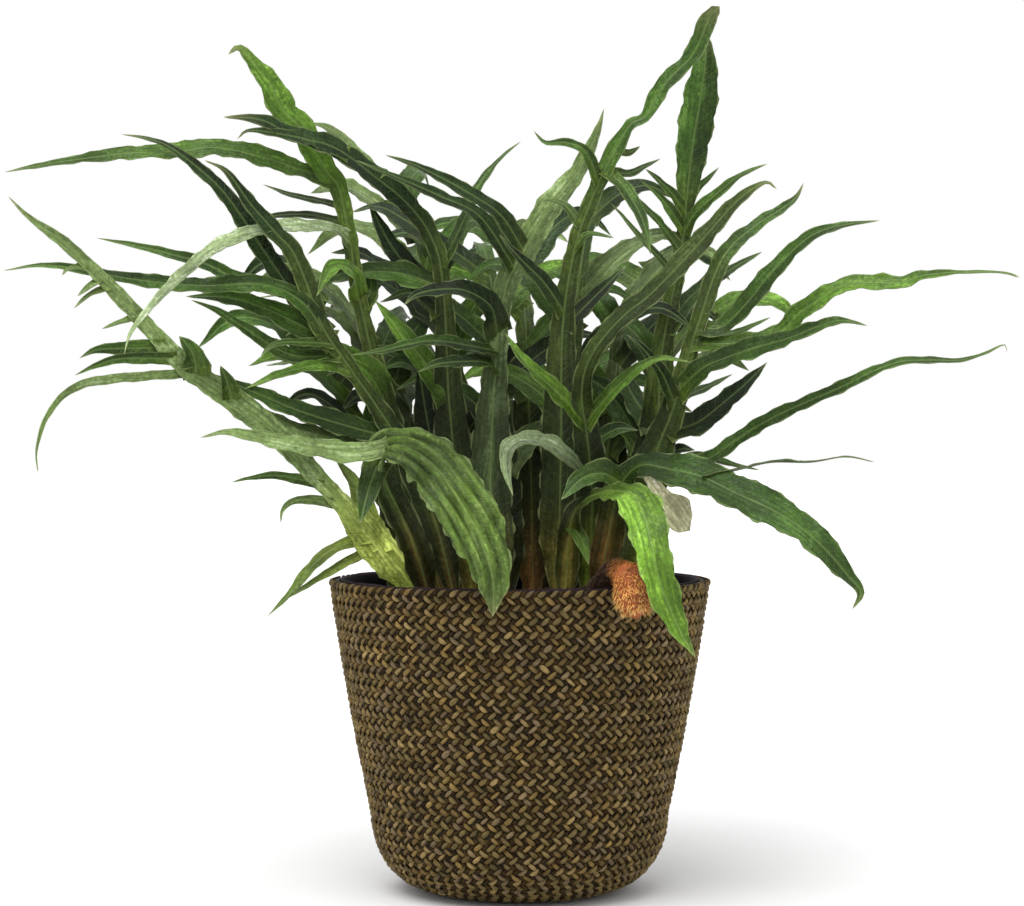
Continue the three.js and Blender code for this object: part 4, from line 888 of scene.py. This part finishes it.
BACK_TILT = 0.8  # how far a back frond's face is turned in, towards the plant's middle
BACK_ARCH = 1.75  # the turn of the arch that it grows along, in radians
BACK_LOBES = 7
FIRST_LOBE = 0.34  # where the first and the last lobe leave the midrib, as shares
LAST_LOBE = 0.88
BACK_LOBE_LENGTH = 84
BACK_LOBE_WIDTH = 17
STALK_FOOT_HEIGHT = 148
STALK_OUT_HEIGHT = SOIL_CROWN_HEIGHT + 5  # where a stalk has left the soil
BACK_TONES = ["mid", "deep", "mid", "fresh", "deep", "mid", "grey"]


def back_frond(plan, number, draw):
    lean = math.radians(plan["leans"])
    out = np.array([math.cos(lean), math.sin(lean), 0])
    aside = np.array([-out[1], out[0], 0])
    foot = np.array([*plan["stands"], STALK_FOOT_HEIGHT], float)
    path = [foot, foot + (0, 0, 10), np.array([*plan["stands"], STALK_OUT_HEIGHT])]
    for share in (0.2, 0.4, 0.6, 0.8, 1):
        point = foot + out * plan["reach"] * share**1.7
        point[2] = STALK_OUT_HEIGHT + plan["height"] * math.sin(BACK_ARCH * share)
        path.append(point)
    midrib = Rib(path)
    lobes = []
    for i in range(BACK_LOBES):
        turn = i / (BACK_LOBES - 1)
        share = FIRST_LOBE + (LAST_LOBE - FIRST_LOBE) * turn
        length = BACK_LOBE_LENGTH * math.sin(math.pi * (0.22 + 0.56 * turn)) * (0.85 + 0.3 * next(draw))
        rise = 0.1 + 0.35 * next(draw)
        sweep = 0.45 + 0.3 * next(draw)
        along = unit(midrib.at([share + 0.0001])[0] - midrib.at([share - 0.0001])[0])
        way = unit(aside * (1 if i % 2 else -1) + along * sweep)
        reaches = ((0.35, rise * 0.6), (0.7, rise * 0.55), (1, rise * 0.1 - 0.12))
        offsets = np.array([way * length * reach + (0, 0, height * length) for reach, height in reaches])
        tone = BACK_TONES[(i + number) % len(BACK_TONES)]
        lobes.append(dict(tone=tone, width=BACK_LOBE_WIDTH, share=share, offsets=offsets))
    return dict(
        name=f"frond_back_{number + 1}", tone="mid", wing=plan["wing"], path=np.array(path),
        widths=BACK_WIDTHS, lobes=lobes, facing=unit(out * -BACK_TILT + (0, 0, 1 - BACK_TILT * 0.5)),
    )


# Growing a frond
# The lobes are thin and leathery, with waved edges, a pale midrib and a net of sunken veins. The
# stalk is round, winged on both sides, and brown or gold at its foot.

COLUMNS = 9
PLEATED_COLUMNS = 21
PLEAT_WIDTH = 6.8
PLEAT_DEPTH = 3.0
PLEAT_PAINTED_SHADE = 0.36  # painted shade: how much darker a pleat's bottom is
RAGGED = 0.22  # how deep a pleated blade's teeth are, as a share of its half width
STATION = 2.6  # between a blade's rings
STATIONS = (10, 130)  # the fewest and the most of them
HALVES_PAINTED_LIGHT = 0.34  # painted light and shade: how much lighter one half of a blade may be, and the other darker
PALE_BENEATH = 0.45
LOBE_SWELL = 0.9  # how much thicker a lobe is at its root
WIDE_ROOT = 0.6  # how much wider it is there
WIDE_ROOT_LENGTH = 6
# The "wing" tone is painted shade: the near-black of the stalks' wings low in the crown.
TONES = {
    "deep": (22, 39, 11), "mid": (50, 76, 24), "fresh": (80, 114, 34), "bright": (92, 128, 36),
    "pleated": (66, 85, 33), "brown": (66, 81, 36), "olive": (66, 94, 32), "grey": (100, 120, 68),
    "silver": (142, 160, 114), "pale": (222, 220, 172), "lime": (172, 190, 82), "stalk": (72, 90, 28),
    "wing": (20, 31, 6), "foot": (96, 74, 34), "dry foot": (138, 96, 42), "green foot": (112, 128, 40),
    "gold foot": (150, 136, 56), "tip": (122, 112, 80), "underside": (92, 112, 60),
}
FEET = ["foot", "dry foot", "green foot", "gold foot"]
FOOT_REACH = 1.4  # how far up its stalk a foot's colour goes
FOOT_FADE = 60
LEAFY_WIDTH = 11  # where a strip is wider than this, it is leaf and no longer stalk
PAINTED_SHADE_CENTRE = (0, 0, 275)  # painted shade: leaves near the middle of the crown are darkened, as if shaded by the others
PAINTED_SHADE_RADII = (170, 110, 130)
CROWN_PAINTED_SHADE = 0.62
BASE_WING = [[0, 0.2], [0.06, 0.3], [0.15, 1], [0.32, 0.95], [0.5, 0.5], [1, 0]]
WING_PAINTED_SHADE = [[0, 0.6], [0.1, 0.92], [0.34, 0.85], [0.52, 0]]  # painted shade: how far the wing is darkened to the "wing" tone along the frond
LOWEST_LOBES = 215  # a lobe that leaves its frond below this height takes on the foot's colour
RHIZOME_DRAWS = 100  # the rhizome's solid takes this many of the draws before the fronds do


def lobe_width(share):
    return np.minimum(1, 0.72 + 1.1 * share) * (1 - share**2.4)


def read(pairs, shares):
    """Reads pairs of (share, value) at other shares."""
    return np.interp(shares, *np.transpose(pairs))


def eased(width, shares):
    """A width along a leaf, with its corners rounded off."""
    grid = np.linspace(0, 1, 201)
    padded = np.pad(width(grid), 4, mode="edge")
    return np.interp(shares, grid, np.convolve(padded, np.ones(9) / 9, mode="valid"))


def grow_blade(rib, leaf, rng):
    """A fine closed blade, as points, quads, triangles, colours and marks."""
    count = int(np.clip(rib.length / STATION, *STATIONS))
    shares = np.linspace(0, 1, count, endpoint=False)
    along = shares * rib.length
    middle, wide, up = blade_frame(rib, leaf, shares)
    half = leaf["fine_width"](shares) / 2
    thick = leaf["thickness"](shares)
    pleated = leaf.get("pleated", False)
    columns = PLEATED_COLUMNS if pleated else COLUMNS
    pleats = PLEAT_DEPTH * np.clip(half / 10 - 0.3, 0, 1) * pleated
    tops, bottoms, across, folds = [], [], [], []
    halves_painted_light = HALVES_PAINTED_LIGHT * rng.uniform(-1, 1)
    for side in (-1, 1):
        phases = rng.random(5) * 2 * math.pi
        sway = 1 + 0.07 * np.sin(along / 2.9 + phases[0]) + 0.035 * np.sin(along / 1.25 + phases[1])
        if pleated:
            teeth = np.abs(np.sin(along / 5.2 + phases[4] + 0.9 * np.sin(along / 13)))
            sway += RAGGED * (teeth * (0.75 + 0.25 * np.sin(along / 9)) - 0.5)
        ruffle = 0.35 * np.sin(along / 1.7 + phases[2]) + 0.6 * np.sin(along / 2.9 + phases[3])
        ruffle = ruffle * np.minimum(1, half / 6)
        rise = edge_waves(rib, leaf, shares, side) * half
        sizes = np.linspace(1, 0, columns // 2 + 1)
        for size in sizes[:-1] if side < 0 else sizes[::-1]:
            reach = half * size * (1 + (sway - 1) * size**4)
            fold = np.abs((side * reach + 1.5 * np.sin(along / 30)) / PLEAT_WIDTH % 1 - 0.5) * 2 - 0.5
            lift = rise * size**1.3 + ruffle * size**3 + pleats * fold
            rib_half = np.maximum(0.6 * thick, 0.9)
            swell = np.sqrt(np.clip(1 - (reach / rib_half) ** 2, 0, 1))
            deep = (BLADE_THICKNESS * (1 - 0.25 * size) + (thick - BLADE_THICKNESS) * swell) / 2
            place = middle + wide * (side * reach)[:, None] + up * lift[:, None]
            tops.append(place + up * (deep * leaf["top_swell"])[:, None])
            bottoms.append(place - up * deep[:, None])
            across.append(side * reach)
            # Painted shade in the pleats' bottoms, and painted light and shade on the blade's two halves.
            folds.append(PLEAT_PAINTED_SHADE * pleats * fold + side * halves_painted_light * min(1, 4 * size))
    ring = np.stack(tops + bottoms[::-1], 1)
    across = np.stack(across + across[::-1], 1)
    sides = 2 * columns
    points = np.vstack([ring.reshape(-1, 3), rib.points[-1:]])
    j = np.arange(columns - 1)
    root = np.stack([j, sides - 1 - j, sides - 2 - j, j + 1], -1)
    last, k = (count - 1) * sides, np.arange(sides)
    tip = np.stack([last + k, last + (k + 1) % sides, np.full(sides, count * sides)], -1)
    colours = leaf["colours"](shares, along)[:, None] * (1 + np.stack(folds + folds[::-1], 1)[..., None])
    # Painted shade: the wings beside the stalk are darkened towards the "wing" tone.
    if "winged" in leaf:
        dark = (np.clip((np.abs(across) - 1.2) / 2.4, 0, 1) * leaf["winged"](shares)[:, None])[..., None]
        colours = colours * (1 - dark) + linear(TONES["wing"]) * dark
    beneath = np.repeat([0.0, 1.0], columns)
    pale = PALE_BENEATH * beneath[None, :, None]
    colours = colours * (1 - pale) + linear(TONES["underside"]) * leaf["paleness"] * pale
    marks = np.stack([np.repeat(along[:, None], sides, 1), across, np.repeat(half[:, None], sides, 1)], -1)
    marks = np.vstack([marks.reshape(-1, 3), [[rib.length, 0, 0]]])
    colours = np.vstack([colours.reshape(-1, 3), linear(TONES["tip"])[None]])
    underside = np.append(np.tile(beneath, count), 0)
    return points, np.vstack([ring_quads(count, sides), root]), tip, colours, marks, underside


def dyed(tone, root_tone, root_length, rng):
    """How a leaf's colour runs from its root to its tip."""
    main = linear(TONES[tone]) * (1 + 0.12 * rng.normal())
    phase = rng.random() * 6

    def colours(shares, along):
        at_root = np.exp(-along / root_length)[:, None]
        at_tip = np.clip((shares - 0.93) / 0.07, 0, 1)[:, None] ** 2
        shade = (1 + 0.1 * np.sin(along / 11 + phase))[:, None]
        colour = main * shade * (1 - at_root) + linear(TONES[root_tone]) * at_root
        return colour * (1 - 0.6 * at_tip) + linear(TONES["tip"]) * 0.6 * at_tip

    return colours


def grow_lobe(lobe, stem, plan, draw, solid, rng):
    """Grows a side lobe from its frond's midrib, or gives None if its solid was left out."""
    phase = 6.28 * next(draw)
    if "path" in lobe:
        midrib = stem.at(np.linspace(0, 1, 201))
        near = np.argmin(np.linalg.norm(seen_at(midrib) - lobe["path"][0], axis=1))
        start = [*seen_at(midrib[near])[0], midrib[near][1]]
        points = laid([start, *lobe["path"][1:]], lobe["depth"])
    else:
        root = stem.at([lobe["share"]])
        points = np.vstack([root, lobe["offsets"] + root])

    def width(shares):
        return lobe["width"] * (read(lobe["outline"], shares) if "outline" in lobe else lobe_width(shares))

    leaf = dict(
        facing=plan.get("facing", FRONT_FACING), roll=lobe.get("roll", 0), twist=lobe.get("twist", 0),
        steps=steps_for(points, LOBE_STEP, LOBE_STEPS), phase=phase, width=width, top_swell=0.5,
        thickness=lambda shares: BLADE_THICKNESS + LOBE_SWELL * (1 - shares), paleness=0.8,
    )
    rib = settle(points, leaf, solid)
    if rib is None:
        return None
    leaf["fine_width"] = lambda shares: width(shares) * (
        1 + WIDE_ROOT * np.exp(-shares * rib.length / WIDE_ROOT_LENGTH)
    )
    at_foot = "foot" in plan and points[0][2] < LOWEST_LOBES
    leaf["colours"] = dyed(lobe["tone"], plan["foot"] if at_foot else "stalk", 30 if at_foot else 9, rng)
    return grow_blade(rib, leaf, rng)


def grow_frond(plan, draw):
    """Grows one frond where its solid stands, and puts it in the solid's place."""
    name = plan["name"]
    seed = sum(map(ord, name))
    rng = np.random.default_rng(seed)
    stalk_rng = np.random.default_rng(seed + 1)
    foot = linear(TONES[plan.get("foot", stalk_rng.choice(FEET))])
    painted_wing_shade = stalk_rng.uniform(0.5, 1)
    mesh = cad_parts[name].data
    solid = BVHTree.FromPolygons([v.co for v in mesh.vertices], [p.vertices for p in mesh.polygons])
    path = plan["path"] if isinstance(plan["path"], np.ndarray) else laid(plan["path"])

    def strip(shares):
        return np.maximum(read(plan["widths"], shares), plan["wing"] * read(BASE_WING, shares))

    axis = dict(
        facing=plan.get("facing", FRONT_FACING), roll=0, twist=0,
        steps=steps_for(path, FROND_STEP, FROND_STEPS), phase=6.28 * next(draw), width=strip, top_swell=1.0,
        thickness=lambda shares: BLADE_THICKNESS + (STALK_THICKNESS - BLADE_THICKNESS) * (1 - shares) ** 1.3,
        fine_width=lambda shares: eased(strip, shares), pleated=plan["tone"] == "pleated", paleness=1.0,
    )
    # Painted shade on the wings, stronger on some fronds than on others.
    if plan["wing"]:
        axis["winged"] = lambda shares: painted_wing_shade * read(WING_PAINTED_SHADE, shares)
    stem = settle(path, axis, solid)
    leaf_dye = dyed(plan["tone"], "stalk", 60, rng)
    leaf_start = next((share for share, width in plan["widths"] if width > LEAFY_WIDTH), 0.8)

    def stem_colours(shares, along):
        leafy = np.clip((shares - leaf_start + 0.12) / 0.15, 0, 1)[:, None]
        low = np.clip(plan.get("foot_reach", FOOT_REACH) - along / FOOT_FADE, 0, 1)[:, None]
        stalk = linear(TONES["stalk"]) * (0.75 + 0.25 * leafy)
        return (leaf_dye(shares, along + 200) * leafy + stalk * (1 - leafy)) * (1 - low) + foot * low

    axis["colours"] = stem_colours
    grown = [grow_blade(stem, axis, rng)]
    grown += [grow_lobe(lobe, stem, plan, draw, solid, rng) for lobe in plan["lobes"]]
    grown = [part for part in grown if part]
    starts = np.cumsum([0] + [len(part[0]) for part in grown])
    quads, tips = (np.vstack([part[k] + start for part, start in zip(grown, starts)]) for k in (1, 2))
    points, colours, marks, underside = (np.concatenate([part[k] for part in grown]) for k in (0, 3, 4, 5))
    # Painted shade: darkens the leaves' colours towards the middle of the crown.
    inside = np.clip(1.25 - np.linalg.norm((points - PAINTED_SHADE_CENTRE) / PAINTED_SHADE_RADII, axis=1), 0, 1)
    colours *= 1 - CROWN_PAINTED_SHADE * inside[:, None]
    add_piece(
        name.replace("frond", "leaves"), points, [quads, tips], leaf_green, [name], colours,
        {"blade": marks, "underside": underside}, crease=60,
    )


SIDE_VEIN_SPACING = 3.1
VEIN = (96, 120, 66)
MIDRIB = (118, 140, 80)
# The pale margin is partly the leaves' own lighter edge and partly a painted highlight along it.
PALE_MARGIN_AND_RIM_LIGHT = (148, 162, 104)
PAINTED_SHEEN = (1.9, 1.7, 2.5)  # painted sheen: silvery streaks in place of glossy highlights, as multiples of a leaf's red, green and blue

leaf_green, tree, shader = new_material("leaf")
along, across, half = put(tree, "ShaderNodeSeparateXYZ", {0: attribute(tree, "blade", "Vector")}).outputs
aside = maths(tree, "ABSOLUTE", across)
slanted = maths(tree, "MULTIPLY_ADD", aside, -0.9, along)
side_vein = ramp(tree, maths(tree, "PINGPONG", slanted, SIDE_VEIN_SPACING), 0.0, 0.55, 1.0, 0.0)
midrib_line = ramp(tree, aside, 0.25, 0.95, 1.0, 0.0)
net_place = vector(tree, slanted, across, 0.0)
cells = put(tree, "ShaderNodeTexVoronoi", {"Vector": net_place, "Scale": 0.55}, feature="DISTANCE_TO_EDGE")
net = maths(tree, "MULTIPLY", ramp(tree, cells.outputs["Distance"], 0.0, 0.12, 1.0, 0.0), 0.5)
veins = maths(tree, "MAXIMUM", side_vein, net)
shade = use(tree, mottling, Patches=28.0, Grain=420.0)


def leaf_streaks(along_scale, across_scale):
    """Streaks along a blade, longer and broader than its fibres."""
    lengthwise = maths(tree, "MULTIPLY", along, along_scale)
    return use(tree, fibres, Along=lengthwise, Across=maths(tree, "MULTIPLY", across, across_scale))


streak = ramp(tree, leaf_streaks(0.25, 0.22), 0.35, 0.65, 0.74, 1.3)
light = maths(tree, "MULTIPLY", ramp(tree, shade, 0.35, 0.65, 0.64, 1.36), streak)
body = tinted(tree, attribute(tree, "dye", "Color"), light, light, light)
# Painted sheen: pale silvery streaks along the blades, lightening their colour.
painted_sheen = ramp(tree, maths(tree, "MULTIPLY", leaf_streaks(0.1, 0.12), shade), 0.26, 0.38, 0.0, 0.9)
body = blend(tree, painted_sheen, body, tinted(tree, body, *PAINTED_SHEEN))
veined = blend(tree, maths(tree, "MULTIPLY", veins, 0.16), body, rgba(VEIN))
ribbed = blend(tree, maths(tree, "MULTIPLY", midrib_line, 0.3), veined, rgba(MIDRIB))
margin_and_rim_light = ramp(tree, maths(tree, "SUBTRACT", half, aside), 0.1, 0.7, 0.3, 0.0)
sunken = maths(tree, "MULTIPLY", maths(tree, "MAXIMUM", veins, midrib_line), -0.6)
gloss = ramp(tree, shade, 0.3, 0.7, 0.42, 0.26)
fill(tree, shader, {
    "Base Color": blend(tree, margin_and_rim_light, ribbed, rgba(PALE_MARGIN_AND_RIM_LIGHT)),
    "Roughness": maths(tree, "MULTIPLY_ADD", attribute(tree, "underside", "Fac"), 0.2, gloss),
    "Specular IOR Level": 0.17,
    "Normal": relief(tree, maths(tree, "MULTIPLY_ADD", shade, 0.6, sunken), 0.0009, 0.55),
})

draw = draws(BACK_SEED)
back_plans = [back_frond(plan, number, draw) for number, plan in enumerate(BACK_FRONDS)]
for _ in range(RHIZOME_DRAWS):
    next(draw)
for plan in [*FRONT_FRONDS, *back_plans]:
    grow_frond(plan, draw)

# The rhizome
# A thick creeping stem that lies on the soil and leans out over the rim. It is clothed all over in
# narrow, furry scales, rust brown at their roots and golden at their tips.

RHIZOME_PATH = [
    [2, -34, 169.5], [20, -46, 170], [35, -62, 171], [44, -75, 178], [50, -87, 188], [55, -98, 189.5],
    [59, -107, 186], [61, -111, 178], [62, -113, 169],
]
RHIZOME_RADII = [[0, 6], [0.3, 7], [0.5, 6.5], [0.64, 5.9], [0.77, 6.1], [0.85, 10], [0.93, 11], [1, 7]]
RHIZOME_SIDES = 28
RHIZOME_RINGS = 90
SKIN_DEPTH = 0.93  # where the skin lies under the scales, as a share of the radius
FUR_SCALES = 5200
FUR_LENGTH = 3.6
FUR_WIDTH = 0.6
FUR_LIFT = 0.22  # how far a scale's middle stands above its edges
RUST = (190, 98, 30)
GOLD = (240, 176, 84)
BUD = (246, 208, 132)  # the tip's youngest scales
BUD_ROOTS = 0.6  # how golden their roots are
BUD_FROM = 0.82
SCALE_ROOT = (146, 74, 26)
PAINTED_SHADE_SCALES = (64, 42, 22)  # painted shade: the rhizome's part inside the rim, dark brown as if in the basket's shade
PAINTED_SHADE_UNTIL = 0.8
GILD = [0, 0, 0, 0.45, 0.45, 0.45, 1.0]  # how golden a scale's corners are, from its root to its tip

rng = np.random.default_rng(31)
creeping = Rib(RHIZOME_PATH)


def on_rhizome(shares, turns, rise):
    """Points on or above the rhizome's skin, and the directions out of it and along it."""
    along = unit(creeping.at(np.minimum(1, shares + 0.01)) - creeping.at(np.maximum(0, shares - 0.01)))
    flat = unit(np.cross(along, (0, 0, 1)))
    out = flat * np.cos(turns)[:, None] + np.cross(flat, along) * np.sin(turns)[:, None]
    radius = read(RHIZOME_RADII, shares) * SKIN_DEPTH
    return creeping.at(shares) + out * (radius + rise)[:, None], out, along


def rhizome_painted_shade(shares):
    """How much painted shade darkens the rhizome along its length, from 0 to 1: its part inside the rim is
    painted dark brown.
    """
    return np.clip((PAINTED_SHADE_UNTIL - shares) / 0.12, 0, 1)


ring_shares = np.repeat(np.linspace(0, 1, RHIZOME_RINGS), RHIZOME_SIDES)
ring_turns = np.tile(2 * math.pi * np.arange(RHIZOME_SIDES) / RHIZOME_SIDES, RHIZOME_RINGS)
knobs = 0.5 * np.sin(ring_shares * 60 + 2 * ring_turns) * np.sin(3 * ring_turns + ring_shares * 21)
skin, _, _ = on_rhizome(ring_shares, ring_turns, knobs)
start, end = creeping.at([0, 1])
skin = np.vstack([skin, start, end + unit(end - creeping.at([0.97])[0]) * 4])
k = np.arange(RHIZOME_SIDES)
last = (RHIZOME_RINGS - 1) * RHIZOME_SIDES
caps = np.vstack([
    np.stack([(k + 1) % RHIZOME_SIDES, k, np.full(RHIZOME_SIDES, len(skin) - 2)], -1),
    np.stack([last + k, last + (k + 1) % RHIZOME_SIDES, np.full(RHIZOME_SIDES, len(skin) - 1)], -1),
])

scale_shares = rng.random(FUR_SCALES) ** 0.8
scale_turns = rng.random(FUR_SCALES) * 2 * math.pi
root, out, forward = on_rhizome(scale_shares, scale_turns, np.full(FUR_SCALES, -0.3))
aside = np.cross(out, forward)
length = FUR_LENGTH * (0.55 + 0.9 * rng.random(FUR_SCALES))[:, None]
spread = out * (0.25 + 0.5 * rng.random(FUR_SCALES))[:, None]
way = unit(forward * 0.8 + spread + aside * 0.5 * rng.normal(size=(FUR_SCALES, 1)))
middle = root + way * length * 0.5
tip = middle + unit(way + out * 0.3 * rng.normal(size=(FUR_SCALES, 1))) * length * 0.5
wide = aside * FUR_WIDTH * (0.6 + 0.7 * rng.random(FUR_SCALES))[:, None]
lift = out * FUR_LIFT
fur = np.stack([
    root - wide * 0.4, root + lift, root + wide * 0.4,
    middle - wide * 0.5, middle + lift, middle + wide * 0.5, tip,
], 1)
scale_quads = np.array([(0, 1, 4, 3), (1, 2, 5, 4), (2, 0, 3, 5)])
scale_tips = np.array([(3, 4, 6), (4, 5, 6), (5, 3, 6), (2, 1, 0)])
shift = len(skin) + len(GILD) * np.arange(FUR_SCALES)[:, None, None]
quads = np.vstack([ring_quads(RHIZOME_RINGS, RHIZOME_SIDES), (scale_quads + shift).reshape(-1, 4)])
tris = np.vstack([caps, (scale_tips + shift).reshape(-1, 3)])

gild = np.array(GILD)[None, :, None]
bright = 0.7 + 0.6 * rng.random((FUR_SCALES, 1, 1))
young = np.clip((scale_shares - BUD_FROM) / 0.14, 0, 1)[:, None, None]
scale_painted_shade = rhizome_painted_shade(scale_shares)[:, None, None]
ends = linear(GOLD) * (1 - young) + linear(BUD) * young
roots = linear(RUST) * (1 - BUD_ROOTS * young) + linear(GOLD) * BUD_ROOTS * young
fur_dye = (roots * (1 - gild) + ends * gild) * bright
# Painted shade: the scales and the skin inside the rim are darkened to dark brown.
fur_dye = fur_dye * (1 - scale_painted_shade) + linear(PAINTED_SHADE_SCALES) * bright * scale_painted_shade
skin_painted_shade = np.append(rhizome_painted_shade(ring_shares), (1, 0))[:, None]
skin_dye = linear(SCALE_ROOT) * (1 - skin_painted_shade) + linear(PAINTED_SHADE_SCALES) * skin_painted_shade

fur_brown, tree, shader = new_material("rhizome_scales")
shade = use(tree, mottling, Patches=120.0, Grain=1200.0)
light = ramp(tree, shade, 0.35, 0.65, 0.7, 1.25)
fill(tree, shader, {
    "Base Color": tinted(tree, attribute(tree, "dye", "Color"), light, light, light),
    "Roughness": ramp(tree, shade, 0.3, 0.7, 0.85, 0.6),
    "Normal": relief(tree, shade, 0.0006, 0.6),
})
points = np.vstack([skin, fur.reshape(-1, 3)])
colours = np.vstack([skin_dye, fur_dye.reshape(-1, 3)])
add_piece("rhizome_fur", points, [quads, tris], fur_brown, ["rhizome"], colours)

# The floor, the light and the camera
# A pale floor under soft studio light from above and from the left, seen from in front at the
# height of the leaves.

FLOOR_REACH = 12000
FLOOR_SIDES = 64
EYE_X = -4.4
AIM_HEIGHT = 253.1
LENS = 90.8
SENSOR_WIDTH = 36
FAR_CLIP = 60  # in metres
KEY_FROM = (-0.27, -0.5, 1.25)  # the way to the key light
KEY_STRENGTH = 2.3
KEY_WIDTH = 45  # in degrees: the wider, the softer its shadows
FLOOR_SHADE = 0.76

turns = 2 * math.pi * np.arange(FLOOR_SIDES) / FLOOR_SIDES
ring = np.column_stack([np.cos(turns), np.sin(turns), np.zeros(FLOOR_SIDES)]) * FLOOR_REACH * MM
floor_mesh = bpy.data.meshes.new("floor")
floor_mesh.from_pydata([tuple(point) for point in ring], [], [tuple(range(FLOOR_SIDES))])
floor = placed("floor", floor_mesh)
white, tree, shader = new_material("floor")
fill(tree, shader, {
    "Base Color": (FLOOR_SHADE, FLOOR_SHADE, FLOOR_SHADE, 1), "Roughness": 0.9, "Specular IOR Level": 0.1,
})
floor_mesh.materials.append(white)

world = bpy.data.worlds.new("studio")
world.use_nodes = True
fill(world.node_tree, world.node_tree.nodes["Background"], {"Color": (1, 1, 1, 1), "Strength": 1.0})
bpy.context.scene.world = world

key_data = bpy.data.lights.new("key_light", "SUN")
key_data.energy = KEY_STRENGTH
key_data.angle = math.radians(KEY_WIDTH)
key_light = placed("key_light", key_data)
key_light.rotation_euler = Vector(KEY_FROM).to_track_quat("Z", "Y").to_euler()

camera_data = bpy.data.cameras.new("camera")
camera_data.lens = LENS
camera_data.sensor_width = SENSOR_WIDTH
camera_data.clip_end = FAR_CLIP
camera = placed("camera", camera_data)
camera.location = np.array((EYE_X, -EYE_DISTANCE, EYE_HEIGHT)) * MM
towards = Vector((EYE_X, 0, AIM_HEIGHT)) * MM - camera.location
camera.rotation_euler = towards.to_track_quat("-Z", "Y").to_euler()
bpy.context.scene.camera = camera
bpy.context.scene.view_settings.view_transform = "Standard"
